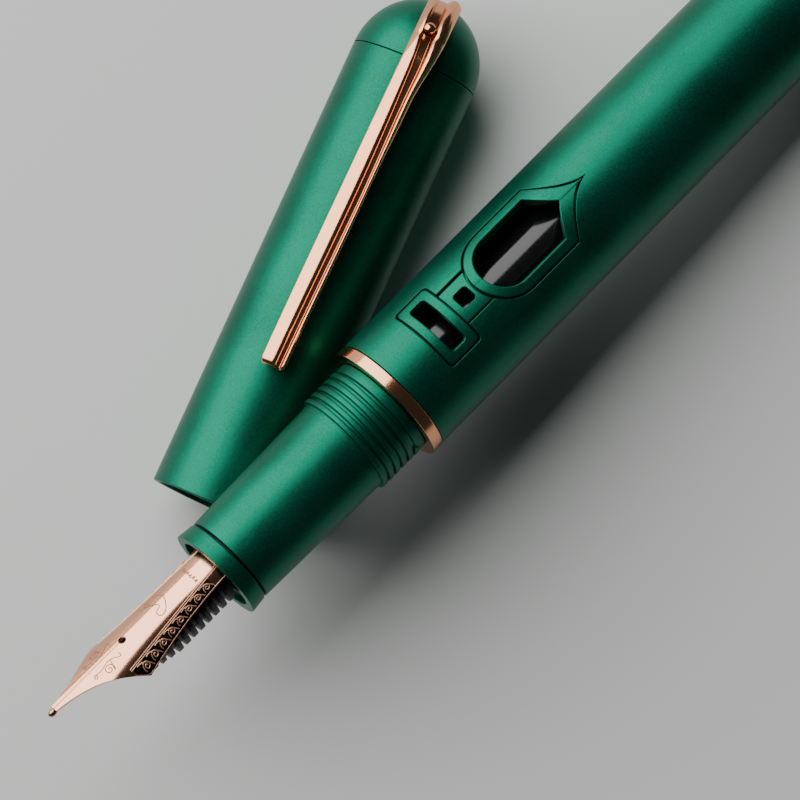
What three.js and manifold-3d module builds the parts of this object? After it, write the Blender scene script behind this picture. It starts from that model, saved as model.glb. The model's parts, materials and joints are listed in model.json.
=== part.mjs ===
// A fountain pen with its cap off: the cap lies on its side, and the pen leans on the cap's mouth.
// Millimetres, +Z up. The cap's axis runs along X with its mouth towards -X.
// Pen pieces are drawn along X, with x = 0 on the front face of the trim ring and +x towards the rear.
// Cap pieces are drawn along X too, with x = 0 on the mouth and +x towards the dome.
import * as THREE from "three";
import { mergeVertices } from "three/addons/utils/BufferGeometryUtils.js";
import Module from "manifold-3d";

const wasm = await Module();
wasm.setup();

// ---- clearances ----
const turnGap = 0.1; // radial gap between turned pieces, one inside the other
const faceGap = 0.15; // axial gap between neighbouring faces
const partingGap = 0.2; // gap round the inlaid window trim
const cutMargin = 1; // how far a cutter runs past what it cuts

// ---- facets ----
const wideFacets = 40;
const smallFacets = 24;
const tinyFacets = 12;
const curveSteps = 6;
const domeSteps = 6;
const nibSteps = 20;
const rivetSteps = 4;
const clipStep = 7; // degrees

// ---- barrel ----
const barrelRadius = 6.75;
const barrelWall = 1.2;
const barrelRoom = 5.75; // behind the converter's knob, so that it can be pulled off
const barrelDomeLength = 6.6;
const barrelPlugLength = 3;
const ringProud = 0.05;
const ringLength = 1.25;
const sleeveWall = 0.55;
const sleeveLength = 4.4;

// ---- window trim, sizes across the chord ----
const trimThickness = 0.75;
const trimProud = 0.05;
const bridgeSunk = 0.2;
const ledgeCover = 0.25; // how far the trim's band hangs over the barrel's opening
const gateFront = 6.25;
const gateLength = 3.95;
const gateWidth = 7.55;
const gateCorner = 0.4;
const gateBandAxial = 1.0;
const gateBandSide = 0.8;
const bridgeLength = 3.3;
const bridgeWidth = 4.1;
const bridgeHole = 1.8;
const bridgeHoleCorner = 0.45;
const bridgeHoleFront = 0.95;
const archRound = 4.2; // axial reach of the rounded front
const archWidth = 7.84;
const archStraight = 6.45;
const archPoint = 4.75;
const archPointPull = 2.55; // where the concave flank's control point lies behind the shoulder
const archPointRise = 0.3;
const archBandSide = 0.88;
const archBandFront = 1.1;
const archHoleBack = 0.8; // the hole's shoulder lies this far in front of the outline's
const archHolePoint = 2.25;
const archHolePull = 1.1;
const archHoleRise = 1.1;

// ---- grip section ----
const sectionLength = 23.8;
const noseLength = 1.8;
const noseFlare = 0.23; // the end ring's lip stands out this far past the grip
const noseGroove = 0.25;
const gripTaper = 0.33;
const gripStep = 0.4; // the grip's rear is this much smaller than the thread
const gripLength = 15.6;
const threadGap = 0.15; // between the threads and what they screw into
const threadDepth = 0.35;
const threadPitch = 0.9;
const threadRidges = 5;
const ridgeRise = 0.3; // where a ridge's flanks begin and end, in shares of the pitch
const ridgeTop = 0.6;
const ridgeFall = 0.95;
const neckLength = 1.2;
const neckStep = 0.1; // the neck is this much smaller than the thread
const nippleLength = 5.8;
const oRingLength = 0.9;

// ---- nib, feed and their housing ----
const housingWall = 0.7; // across its rear end
const nibFit = 0.15; // round the nib and feed in their housing
const housingLength = 15;
const housingSunk = 0.6;
const inkNippleRadius = 2.4;
const inkNippleLength = 6;
const inkBore = 1.2;
const nibExposed = 21.5;
const nibLength = 34;
const nibRadius = 3.05;
const nibThickness = 0.25;
const nibShoulder = 9.7; // tip to the corner of the shoulders
const nibTipHalfWidth = 0.22; // half widths are measured round the nib's surface
const nibTineTaper = 0.12; // growth in half width per millimetre, just behind the tip
const nibShoulderHalfWidth = 4.75;
const nibBaseHalfWidth = 3;
const nibFlare = 4.05; // how much flatter the nib is at its tip than at its base, in radius
const nibFlareLength = 18;
const nibSwellPower = 3; // how late the tines swell towards the shoulders
const nibWaistPower = 1.6; // how soon the body narrows behind the shoulders
const nibStepPower = 1.3; // packs the mesh's steps towards the tip
const breatherRadius = 0.42;
const breatherPlace = 10.2;
const pelletRadius = 0.45;
const feedGap = 0.15;
const feedInset = 0.1; // the fins' radius is this much smaller than the nib's
const feedSplit = 0.5; // from the axis down to the top of the comb
const feedRoot = 2.1;
const feedFront = 9;
const finStart = 10.2;
const finPitch = 1;
const finThickness = 0.5;
const finCount = 11;
const finGrowth = 4; // the first fins grow to full depth over this many
const feedNoseRadius = 0.8;
const feedTail = 1.0;

// ---- converter ----
const converterRadius = 3.9;
const converterWall = 0.6;
const converterGap = 0.25; // round the converter inside the section
const nippleGrip = 4.4; // how far the converter's mouth slides over the ink nipple
const nippleFit = 0.15; // between the ink nipple and the converter's mouth
const mouthLength = 10.4;
const tubeLength = 32;
const rearCollarLength = 5;
const knobRadius = 3.6;
const knobLength = 20.7;
const knobEndWall = 1.5;
const knobChamfer = 0.5;
const rodRadius = 1.8;
const rodBore = 1.05;
const rodInset = 1.75; // the rod's rear end in front of the rear collar's
const rodGuide = 0.25;
const spindleRadius = 0.75;
const spindleGrip = 1.9; // how far the spindle reaches into the rod at rest
const pistonLength = 3.8;
const pistonRest = 4; // piston's front face behind the tube's front end
const pistonSealLength = 0.9;
const pistonSealDepth = 0.5;

// ---- cap ----
const capStep = 0.15; // the cap's radius is this much smaller than the barrel's
const capWall = 0.75;
const nibRoom = 0.85; // in front of the nib's tip in the closed cap
const capDomeLength = 7.1;
const capPlugLength = 0.7;
const innerCapWall = 1.25;
const innerCapEnd = 1.6;
const screwHeadRadius = 1.6;
const screwHeadLength = 0.9;
const screwRadius = 0.8;
const screwLength = 5.2;

// ---- clip ----
const clipLeft = 1.6; // from the middle of the cap to the strip's left edge
const clipRight = 1.2;
const clipFlareRight = 2.1; // the strip flares on its right only
const clipFlareStart = 9.5; // in front of the dome
const clipThickness = 1.05;
const clipRise = 1.0; // gap between the clip's bar and the cap
const clipFreeEnd = 14.6; // cap's mouth to the clip's free end
const clipBump = 0.7;
const clipBumpLength = 3.2;
const clipBarEnd = 3.8; // in front of the dome, where the straight bar begins to bend
const clipSeatGap = 0.3;
const clipSettle = 18; // degrees round the dome over which the clip comes down to it
const clipFlareCurve = 2; // in front of the dome's edge, where the flare's curve turns
const clipCorner = 0.6;
const clipWrap = 62; // degrees round the dome to the clip's root
const rivetPlace = 24; // degrees round the dome
const rivetHeadRadius = 0.62;
const rivetHeadHeight = 0.4;
const rivetRadius = 0.35;
const rivetDepth = 2.4;

// ---- how the pieces lie ----
const yaw = 20; // degrees between the pen and the cap, seen from above
const windowRoll = 14.6; // degrees from the pen's top to the middle of the windows
const nibRoll = 38; // degrees from the pen's top to the nib's slit
const crossingOffset = 5.6; // sideways, at the cap's mouth, from the cap's axis to the pen's
const crossingBack = 6.9; // section's front face to where the pen crosses the cap's mouth
const restGap = 0.4; // between the pen and the cap
const scanStep = 0.5; // along the cap, in the search for that gap
const steepest = 25; // degrees, where the search for the pen's slope ends
const halvings = 40;

// ---- colours and finishes ----
const finishes = {
  green: { color: 0x006a50, roughness: 0.42, metalness: 0.75 },
  roseGold: { color: 0xe6a682, roughness: 0.16, metalness: 1 },
  black: { color: 0x0c0d0e, roughness: 0.5, metalness: 0 },
  smoke: { color: 0x141517, roughness: 0.12, metalness: 0 },
  rubber: { color: 0x151515, roughness: 0.85, metalness: 0 },
  brass: { color: 0xb48a4a, roughness: 0.35, metalness: 1 },
  steel: { color: 0xb8babd, roughness: 0.3, metalness: 1 },
};

const degrees = THREE.MathUtils.degToRad;

// ---- solids ----

// A closed geometry as a solid; triangles that shrank to a line at a pole are dropped.
function solidOf(geometry) {
  geometry.deleteAttribute("normal");
  geometry.deleteAttribute("uv");
  const merged = mergeVertices(geometry, 1e-4);
  const corners = [];
  for (let i = 0; i < merged.index.count; i += 3) {
    const [a, b, c] = [0, 1, 2].map((k) => merged.index.getX(i + k));
    if (a !== b && b !== c && c !== a) corners.push(a, b, c);
  }
  return new wasm.Manifold(
    new wasm.Mesh({
      numProp: 3,
      vertProperties: merged.attributes.position.array,
      triVerts: new Uint32Array(corners),
    }),
  );
}

function geometryOf(solid) {
  const mesh = solid.getMesh();
  const geometry = new THREE.BufferGeometry();
  geometry.setAttribute("position", new THREE.BufferAttribute(mesh.vertProperties, 3));
  geometry.setIndex(new THREE.BufferAttribute(mesh.triVerts, 1));
  geometry.computeVertexNormals();
  return geometry;
}

// Turns a closed outline of [x, radius] points round the X axis, with a flat facet on top and below.
function turned(outline, facets = wideFacets) {
  const points = outline.map(([x, radius]) => new THREE.Vector2(radius, x));
  if (THREE.ShapeUtils.area(points) < 0) points.reverse();
  points.push(points[0].clone());
  const geometry = new THREE.LatheGeometry(points, facets, Math.PI / facets);
  geometry.rotateZ(-Math.PI / 2);
  return solidOf(geometry);
}

// A plain ring or tube between two radii.
function tube(front, rear, inner, outer, facets = wideFacets) {
  return turned([[front, inner], [front, outer], [rear, outer], [rear, inner]], facets);
}

// A plain rod.
function rod(front, rear, radius, facets = smallFacets) {
  return turned([[front, 0], [front, radius], [rear, radius], [rear, 0]], facets);
}

// Extrudes an outline drawn in X and Y from one height to another.
function plate(shape, low, high) {
  const geometry = new THREE.ExtrudeGeometry(shape, {
    depth: high - low,
    bevelEnabled: false,
    curveSegments: curveSteps,
  });
  geometry.translate(0, 0, low);
  return solidOf(geometry);
}

function block(x0, x1, y0, y1, z0, z1) {
  const geometry = new THREE.BoxGeometry(x1 - x0, y1 - y0, z1 - z0);
  geometry.translate((x0 + x1) / 2, (y0 + y1) / 2, (z0 + z1) / 2);
  return solidOf(geometry);
}

// Points of an elliptical dome from its shoulder to its tip.
function domeOutline(shoulder, length, radius, steps = domeSteps) {
  const points = [];
  for (let i = 0; i <= steps; i++) {
    const turn = ((i / steps) * Math.PI) / 2;
    points.push([shoulder + length * Math.sin(turn), Math.max(radius * Math.cos(turn), 0)]);
  }
  points[steps][1] = 0;
  return points;
}

function mesh(name, solid, finish) {
  const material = new THREE.MeshStandardMaterial(finishes[finish]);
  const made = new THREE.Mesh(geometryOf(solid), material);
  made.name = name;
  return made;
}

// ---- sizes that follow from the ones above ----

const barrelBore = barrelRadius - barrelWall;
const ringRadius = barrelRadius + ringProud;
const nippleRadius = barrelBore - sleeveWall - 2 * turnGap;
const sectionBore = converterRadius + converterGap;
const capRadius = barrelRadius - capStep;
const capBore = capRadius - capWall;
const threadRadius = capBore - threadGap;
const neckRadius = threadRadius - neckStep;
const gripRearRadius = threadRadius - gripStep;
const gripFrontRadius = gripRearRadius - gripTaper;
const noseRadius = gripFrontRadius + noseFlare;
const feedRadius = nibRadius - feedInset;
const sectionFront = -sectionLength;
const inkNippleRear = sectionFront + housingSunk + housingLength + inkNippleLength;
const mouthFront = inkNippleRear - nippleGrip;
const tubeFront = mouthFront + mouthLength;
const tubeRear = tubeFront + tubeLength;
const rearCollarRear = tubeRear + rearCollarLength;
const knobFront = rearCollarRear + 2 * faceGap;
const knobRear = knobFront + knobLength;
const barrelShoulder = knobRear + barrelRoom + barrelPlugLength - faceGap;
const barrelLength = barrelShoulder + barrelDomeLength;
const innerCapFront = sectionLength + faceGap + restGap;
const innerCapRear = sectionLength + nibExposed + nibRoom + innerCapEnd;
const plugFront = innerCapRear + faceGap;
const capShoulder = plugFront + capPlugLength;
const capLength = capShoulder + capDomeLength;

// ---- barrel ----

const pocketRadius = barrelRadius + trimProud - trimThickness - turnGap;
const gateRear = gateFront + gateLength;
const archCentre = gateRear + bridgeLength + archRound;
const archShoulder = archCentre + archStraight;

function roundedRectangle(front, rear, width, corner) {
  const half = width / 2;
  const shape = new THREE.Shape();
  shape.moveTo(front + corner, -half);
  shape.lineTo(rear - corner, -half);
  shape.absarc(rear - corner, -half + corner, corner, -Math.PI / 2, 0, false);
  shape.lineTo(rear, half - corner);
  shape.absarc(rear - corner, half - corner, corner, 0, Math.PI / 2, false);
  shape.lineTo(front + corner, half);
  shape.absarc(front + corner, half - corner, corner, Math.PI / 2, Math.PI, false);
  shape.lineTo(front, -half + corner);
  shape.absarc(front + corner, -half + corner, corner, Math.PI, Math.PI * 1.5, false);
  return shape;
}

// A round front, straight sides, and two flanks that meet in a point at the rear.
function archShape(centre, reach, half, shoulder, point, pull, rise) {
  const shape = new THREE.Shape();
  shape.moveTo(shoulder, half);
  shape.lineTo(centre, half);
  shape.absellipse(centre, 0, reach, half, Math.PI / 2, Math.PI * 1.5, false, 0);
  shape.lineTo(shoulder, -half);
  shape.quadraticCurveTo(shoulder + pull, -rise, shoulder + point, 0);
  shape.quadraticCurveTo(shoulder + pull, rise, shoulder, half);
  return shape;
}

function gateOutline(grow) {
  const width = gateWidth + 2 * grow;
  return roundedRectangle(gateFront - grow, gateRear + grow, width, gateCorner);
}

function gateHole(grow) {
  const width = gateWidth - 2 * gateBandSide + 2 * grow;
  const front = gateFront + gateBandAxial - grow;
  const rear = gateRear - gateBandAxial + grow;
  return roundedRectangle(front, rear, width, gateCorner);
}

function bridgeOutline(grow) {
  const width = bridgeWidth + 2 * grow;
  return roundedRectangle(gateRear + partingGap, archCentre, width, gateCorner);
}

function bridgeOpening(grow) {
  const front = gateRear + bridgeHoleFront;
  const size = bridgeHole + 2 * grow;
  return roundedRectangle(front - grow, front + bridgeHole + grow, size, bridgeHoleCorner);
}

function archOutline(grow) {
  const half = archWidth / 2 + grow;
  const point = archPoint + 2 * grow;
  const rise = archPointRise + grow;
  return archShape(archCentre, archRound + grow, half, archShoulder, point, archPointPull, rise);
}

function archOpening(grow) {
  const half = archWidth / 2 - archBandSide + grow;
  const shoulder = archShoulder - archHoleBack;
  const reach = archRound - archBandFront + grow;
  const point = archHolePoint + grow;
  return archShape(archCentre, reach, half, shoulder, point, archHolePull, archHoleRise);
}

function barrelTube() {
  const front = ringLength + faceGap / 2;
  const skin = tube(gateFront - cutMargin, barrelShoulder, pocketRadius, barrelRadius + cutMargin);
  const cutTop = barrelRadius + 2 * cutMargin;
  const outlines = [gateOutline(partingGap), bridgeOutline(partingGap), archOutline(partingGap)];
  const openings = [gateHole(ledgeCover), bridgeOpening(ledgeCover), archOpening(ledgeCover)];
  let made = tube(front, barrelShoulder, barrelBore, barrelRadius);
  for (const outline of outlines) made = made.subtract(plate(outline, 0, cutTop).intersect(skin));
  for (const opening of openings) made = made.subtract(plate(opening, 0, cutTop));
  return made;
}

function trimPiece(outline, hole, outerRadius) {
  const innerRadius = barrelRadius + trimProud - trimThickness;
  const skin = tube(gateFront - cutMargin, barrelShoulder, innerRadius, outerRadius);
  const cutTop = barrelRadius + 2 * cutMargin;
  return plate(outline, 0, cutTop).intersect(skin).subtract(plate(hole, 0, cutTop));
}

function windowBridge() {
  const bridge = trimPiece(bridgeOutline(0), bridgeOpening(0), barrelRadius - bridgeSunk);
  return bridge.subtract(plate(archOutline(partingGap), 0, barrelRadius + 2 * cutMargin));
}

function barrelEnd() {
  const front = barrelShoulder + faceGap;
  const dome = domeOutline(front, barrelLength - front, barrelRadius);
  const plugRadius = barrelBore - turnGap;
  return turned([
    [front - barrelPlugLength, 0],
    [front - barrelPlugLength, plugRadius],
    [front, plugRadius],
    ...dome,
  ]);
}

function trimRing() {
  return tube(0, ringLength, barrelBore, ringRadius);
}

function threadSleeve() {
  const outer = barrelBore - turnGap;
  const front = ringLength + faceGap;
  return tube(front, front + sleeveLength, outer - sleeveWall, outer);
}

function addBarrel(pen) {
  const barrel = new THREE.Group();
  barrel.rotation.x = -degrees(windowRoll);
  const frameRadius = barrelRadius + trimProud;
  barrel.add(mesh("barrel_tube", barrelTube(), "green"));
  barrel.add(mesh("barrel_end", barrelEnd(), "green"));
  barrel.add(mesh("trim_ring", trimRing(), "roseGold"));
  barrel.add(mesh("barrel_thread_sleeve", threadSleeve(), "brass"));
  barrel.add(mesh("window_frame_gate", trimPiece(gateOutline(0), gateHole(0), frameRadius), "green"));
  barrel.add(mesh("window_bridge", windowBridge(), "green"));
  barrel.add(mesh("window_frame_arch", trimPiece(archOutline(0), archOpening(0), frameRadius), "green"));
  pen.add(barrel);
}

// ---- grip section ----

const gripFront = sectionFront + noseLength + noseGroove;
const gripRear = gripFront + gripLength;
const threadRear = -neckLength;
const threadFront = threadRear - threadPitch * threadRidges;

function gripSection() {
  const outline = [[gripFront, sectionBore], [gripFront, gripFrontRadius], [gripRear, gripRearRadius]];
  const root = threadRadius - threadDepth;
  outline.push([threadFront, root]);
  for (let i = 0; i < threadRidges; i++) {
    const start = threadFront + i * threadPitch;
    outline.push([start + threadPitch * ridgeRise, threadRadius]);
    outline.push([start + threadPitch * ridgeTop, threadRadius]);
    outline.push([start + threadPitch * ridgeFall, root]);
  }
  outline.push([threadRear, neckRadius], [-faceGap, neckRadius], [-faceGap, nippleRadius]);
  outline.push([nippleLength, nippleRadius], [nippleLength, sectionBore]);
  return turned(outline);
}

function sectionEndRing() {
  const rear = sectionFront + noseLength;
  return turned([
    [sectionFront, sectionBore],
    [sectionFront, noseRadius],
    [rear, gripFrontRadius],
    [rear, sectionBore],
  ]);
}

function sectionORing() {
  const inner = nippleRadius + turnGap;
  return tube(faceGap, faceGap + oRingLength, inner, barrelBore - turnGap);
}

function nibHousing() {
  const outer = sectionBore - turnGap;
  const bore = nibRadius + nibFit;
  const front = sectionFront + housingSunk;
  const wall = front + housingLength;
  return turned([
    [front, bore],
    [front, outer],
    [wall, outer],
    [wall, inkNippleRadius],
    [wall + inkNippleLength, inkNippleRadius],
    [wall + inkNippleLength, inkBore],
    [wall - housingWall, inkBore],
    [wall - housingWall, bore],
  ]);
}

// ---- nib and feed, with the slit on top ----

const nibFront = sectionFront - nibExposed;

// Half the nib's width round its surface: the tines widen to the shoulders, and the body narrows to the base.
function nibHalfWidth(back) {
  if (back < nibShoulder) {
    const straight = nibTipHalfWidth + nibTineTaper * back;
    const swell = nibShoulderHalfWidth - nibTipHalfWidth - nibTineTaper * nibShoulder;
    return straight + swell * (back / nibShoulder) ** nibSwellPower;
  }
  const along = Math.min((back - nibShoulder) / (nibExposed - nibShoulder), 1);
  return nibBaseHalfWidth + (nibShoulderHalfWidth - nibBaseHalfWidth) * (1 - along) ** nibWaistPower;
}

// The nib bends round a cylinder that grows flatter towards the tip, while the slit's line stays straight.
function nibPoint(back, across, depth) {
  const radius = nibRadius + nibFlare * Math.max(1 - back / nibFlareLength, 0) ** 2;
  const turn = across / radius;
  return [
    nibFront + back,
    (radius - depth) * Math.sin(turn),
    nibRadius - radius + (radius - depth) * Math.cos(turn),
  ];
}

// A flat box with many steps, bent into the nib; it starts behind the tip's pellet.
function nibBlade() {
  const front = 2 * pelletRadius + faceGap / 2;
  const geometry = new THREE.BoxGeometry(1, 2, 1, nibSteps, nibSteps / 2, 1);
  const places = geometry.attributes.position;
  for (let i = 0; i < places.count; i++) {
    const back = front + (places.getX(i) + 0.5) ** nibStepPower * (nibLength - front);
    const depth = (0.5 - places.getZ(i)) * nibThickness;
    places.setXYZ(i, ...nibPoint(back, places.getY(i) * nibHalfWidth(back), depth));
  }
  const breather = new THREE.Shape();
  breather.absarc(nibFront + breatherPlace, 0, breatherRadius, 0, Math.PI * 2);
  return solidOf(geometry).subtract(plate(breather, 0, nibRadius + cutMargin));
}

function nibTip() {
  const geometry = new THREE.SphereGeometry(pelletRadius, tinyFacets, tinyFacets / 2);
  geometry.translate(nibFront + pelletRadius, 0, nibRadius - pelletRadius);
  return solidOf(geometry);
}

function feed() {
  const upperRadius = nibRadius - nibThickness - feedGap;
  const front = nibFront + feedFront;
  const combFront = nibFront + finStart;
  const combRear = combFront + finCount * finPitch;
  const housingFront = sectionFront + housingSunk;
  const rear = housingFront + housingLength - housingWall - faceGap;
  const shankFront = Math.max(housingFront, combRear) + faceGap;
  const comb = [[front, 0], [front, feedNoseRadius], [combFront, feedRoot]];
  for (let i = 0; i < finCount; i++) {
    const start = combFront + i * finPitch;
    const reach = THREE.MathUtils.lerp(feedRoot, feedRadius, Math.min((i + 1) / finGrowth, 1));
    comb.push([start + finPitch - finThickness, feedRoot], [start + finPitch - finThickness, reach]);
    comb.push([start + finPitch, reach], [start + finPitch, feedRoot]);
  }
  comb.push([shankFront, feedRoot], [shankFront, feedRadius], [rear, feedRadius]);
  comb.push([rear, feedTail], [rear + inkNippleLength, feedTail], [rear + inkNippleLength, 0]);
  const upper = turned([
    [front, 0],
    [front, feedNoseRadius],
    [combFront, upperRadius],
    [rear, upperRadius],
    [rear, 0],
  ], smallFacets);
  const wide = feedRadius + cutMargin;
  const split = -feedSplit;
  const under = block(front - cutMargin, rear + inkNippleLength + cutMargin, -wide, wide, -wide, split);
  const over = block(front - cutMargin, rear + cutMargin, -wide, wide, split - feedGap, wide);
  const tail = rod(rear - cutMargin, rear + inkNippleLength, feedTail, tinyFacets);
  return turned(comb, smallFacets).intersect(under).add(upper.intersect(over)).add(tail);
}

function addSection(pen) {
  const section = new THREE.Group();
  section.rotation.x = -degrees(nibRoll);
  section.add(mesh("grip_section", gripSection(), "green"));
  section.add(mesh("section_end_ring", sectionEndRing(), "green"));
  section.add(mesh("section_o_ring", sectionORing(), "rubber"));
  section.add(mesh("nib_housing", nibHousing(), "black"));
  section.add(mesh("nib", nibBlade(), "roseGold"));
  section.add(mesh("nib_tip", nibTip(), "steel"));
  section.add(mesh("feed", feed(), "black"));
  pen.add(section);
}

// ---- converter ----

const tubeBore = converterRadius - converterWall;
const pistonFront = tubeFront + pistonRest;
const rodFront = pistonFront + pistonLength + faceGap;
const rodRear = rearCollarRear - rodInset;

function converterMouth() {
  return tube(mouthFront, tubeFront - faceGap / 2, inkNippleRadius + nippleFit, converterRadius);
}

function converterTube() {
  return tube(tubeFront + faceGap / 2, tubeRear - faceGap / 2, tubeBore, converterRadius);
}

function converterRearCollar() {
  return tube(tubeRear + faceGap / 2, rearCollarRear, rodRadius + rodGuide, converterRadius);
}

function converterKnob() {
  const bore = rodRadius + rodGuide;
  const floor = knobRear - knobEndWall;
  return turned([
    [knobFront, bore],
    [knobFront, knobRadius],
    [knobRear - knobChamfer, knobRadius],
    [knobRear, knobRadius - knobChamfer],
    [knobRear, 0],
    [floor, 0],
    [floor, bore],
  ]);
}

function converterSpindle() {
  const rear = knobRear - knobEndWall - faceGap;
  return rod(rodRear - spindleGrip, rear, spindleRadius, tinyFacets);
}

function pistonHead() {
  const outer = tubeBore - turnGap;
  const groove = outer - pistonSealDepth;
  const middle = pistonFront + pistonLength / 2;
  const half = pistonSealLength / 2 + turnGap;
  return turned([
    [pistonFront, 0],
    [pistonFront, outer],
    [middle - half, outer],
    [middle - half, groove],
    [middle + half, groove],
    [middle + half, outer],
    [pistonFront + pistonLength, outer],
    [pistonFront + pistonLength, 0],
  ]);
}

function pistonSeal() {
  const outer = tubeBore - turnGap / 2;
  const middle = pistonFront + pistonLength / 2;
  const inner = tubeBore - turnGap - pistonSealDepth + turnGap / 2;
  return tube(middle - pistonSealLength / 2, middle + pistonSealLength / 2, inner, outer);
}

function pistonRod() {
  return tube(rodFront, rodRear, rodBore, rodRadius, smallFacets);
}

function addConverter(pen) {
  const converter = new THREE.Group();
  converter.add(mesh("converter_mouth", converterMouth(), "black"));
  converter.add(mesh("converter_tube", converterTube(), "smoke"));
  converter.add(mesh("converter_rear_collar", converterRearCollar(), "roseGold"));
  converter.add(mesh("converter_knob", converterKnob(), "black"));
  converter.add(mesh("converter_spindle", converterSpindle(), "steel"));
  converter.add(mesh("piston_head", pistonHead(), "black"));
  converter.add(mesh("piston_seal", pistonSeal(), "rubber"));
  converter.add(mesh("piston_rod", pistonRod(), "black"));
  pen.add(converter);
}

// ---- cap ----

// A point on the dome's side view, pushed outwards by a distance, at degrees round from the top.
function domePoint(angle, out) {
  const turn = degrees(angle);
  return [
    capShoulder + (capDomeLength + out) * Math.sin(turn),
    (capRadius + out) * Math.cos(turn),
  ];
}

// Places a rod that was made along X on the dome, standing out at rivetPlace.
function onDome(solid) {
  const [x, z] = domePoint(rivetPlace, 0);
  const geometry = geometryOf(solid);
  geometry.rotateY(-degrees(90 - rivetPlace));
  geometry.translate(x, 0, z);
  return solidOf(geometry);
}

function capShell() {
  return tube(0, capShoulder - faceGap / 2, capBore, capRadius);
}

function capDome() {
  const front = capShoulder + faceGap / 2;
  const plugRadius = capBore - turnGap;
  const dome = domeOutline(front, capLength - front, capRadius);
  const body = turned([[plugFront, 0], [plugFront, plugRadius], [front, plugRadius], ...dome]);
  const screwHole = rod(plugFront - cutMargin, plugFront + screwLength, screwRadius + turnGap, tinyFacets);
  const rivetHole = rod(-rivetDepth - faceGap, cutMargin, rivetRadius + turnGap, tinyFacets);
  return body.subtract(screwHole).subtract(onDome(rivetHole));
}

function innerCap() {
  const outer = capBore - turnGap;
  const bore = outer - innerCapWall;
  const wall = innerCapRear - innerCapEnd;
  const headRadius = screwHeadRadius + turnGap;
  return turned([
    [innerCapFront, bore],
    [innerCapFront, outer],
    [innerCapRear, outer],
    [innerCapRear, screwRadius + turnGap],
    [wall + screwHeadLength + faceGap, screwRadius + turnGap],
    [wall + screwHeadLength + faceGap, headRadius],
    [wall, headRadius],
    [wall, bore],
  ]);
}

function capScrew() {
  const front = innerCapRear - innerCapEnd;
  const shoulder = front + screwHeadLength;
  const rear = plugFront + screwLength - faceGap;
  const head = [[front, 0], [front, screwHeadRadius], [shoulder, screwHeadRadius]];
  return turned([...head, [shoulder, screwRadius], [rear, screwRadius], [rear, 0]], smallFacets);
}

// How far the clip's underside stands off the dome.
function clipStandOff(angle) {
  return THREE.MathUtils.lerp(clipRise, clipSeatGap, Math.min(angle / clipSettle, 1));
}

// The clip's side view: a long bar that curves down over the dome.
function clipSide() {
  const low = capRadius + clipRise;
  const high = low + clipThickness;
  const angles = [];
  for (let angle = clipWrap; angle > 0; angle -= clipStep) angles.unshift(angle);
  const shape = new THREE.Shape();
  shape.moveTo(clipFreeEnd, high - clipThickness / 2);
  shape.quadraticCurveTo(clipFreeEnd, high, clipFreeEnd + clipThickness, high);
  shape.lineTo(capShoulder - clipBarEnd, high);
  for (const angle of angles) shape.lineTo(...domePoint(angle, clipStandOff(angle) + clipThickness));
  for (const angle of angles.reverse()) shape.lineTo(...domePoint(angle, clipStandOff(angle)));
  shape.lineTo(capShoulder - clipBarEnd, low);
  shape.lineTo(clipFreeEnd + clipBumpLength, low);
  shape.quadraticCurveTo(clipFreeEnd + clipBumpLength / 2, low - 2 * clipBump, clipFreeEnd, low);
  return shape;
}

function clipPlan() {
  const flareStart = capShoulder - clipFlareStart;
  const flareCurve = capShoulder - clipFlareCurve;
  const flareEnd = capShoulder + cutMargin;
  const rear = capLength + cutMargin + clipThickness;
  const shape = new THREE.Shape();
  shape.moveTo(clipFreeEnd, clipCorner - clipRight);
  shape.quadraticCurveTo(clipFreeEnd, -clipRight, clipFreeEnd + clipCorner, -clipRight);
  shape.lineTo(flareStart, -clipRight);
  shape.quadraticCurveTo(flareCurve, -clipRight, flareEnd, -clipFlareRight);
  shape.lineTo(rear, -clipFlareRight);
  shape.lineTo(rear, clipLeft);
  shape.lineTo(clipFreeEnd + clipCorner, clipLeft);
  shape.quadraticCurveTo(clipFreeEnd, clipLeft, clipFreeEnd, clipLeft - clipCorner);
  return shape;
}

function clip() {
  const side = new THREE.ExtrudeGeometry(clipSide(), {
    depth: 2 * clipFlareRight + cutMargin,
    bevelEnabled: false,
    curveSegments: curveSteps,
  });
  side.translate(0, 0, -clipFlareRight - cutMargin / 2);
  side.rotateX(Math.PI / 2);
  const plan = plate(clipPlan(), 0, capRadius + clipRise + clipThickness + cutMargin);
  const hole = rod(-cutMargin, clipRise + clipThickness + cutMargin, rivetRadius + turnGap, tinyFacets);
  return solidOf(side).intersect(plan).subtract(onDome(hole));
}

function clipRivet() {
  const seat = clipSeatGap + clipThickness + faceGap;
  const head = domeOutline(seat, rivetHeadHeight, rivetHeadRadius, rivetSteps);
  const shank = [[-rivetDepth, 0], [-rivetDepth, rivetRadius], [seat, rivetRadius]];
  return onDome(turned([...shank, ...head], tinyFacets));
}

function addCap(cap) {
  cap.add(mesh("cap_shell", capShell(), "green"));
  cap.add(mesh("cap_dome", capDome(), "green"));
  cap.add(mesh("inner_cap", innerCap(), "black"));
  cap.add(mesh("cap_screw", capScrew(), "steel"));
  cap.add(mesh("clip", clip(), "roseGold"));
  cap.add(mesh("clip_rivet", clipRivet(), "roseGold"));
}

// ---- rest pose ----

// The pen's outer radius at x, behind the section's front face.
function penRadiusAt(x) {
  if (x < gripFront) return noseRadius;
  if (x > 0) return ringRadius;
  if (x > gripRear) return threadRadius;
  const along = (x - gripFront) / gripLength;
  return THREE.MathUtils.lerp(gripFrontRadius, gripRearRadius, along);
}

// Height of the pen's axis at the crossing, with the rear dome touching the floor.
function crossingHeight(pitch) {
  const crossing = sectionFront + crossingBack;
  const heights = domeOutline(barrelShoulder, barrelDomeLength, barrelRadius, wideFacets * 2).map(
    ([x, radius]) => (x - crossing) * Math.sin(pitch) + radius * Math.cos(pitch),
  );
  return Math.max(...heights);
}

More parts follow.
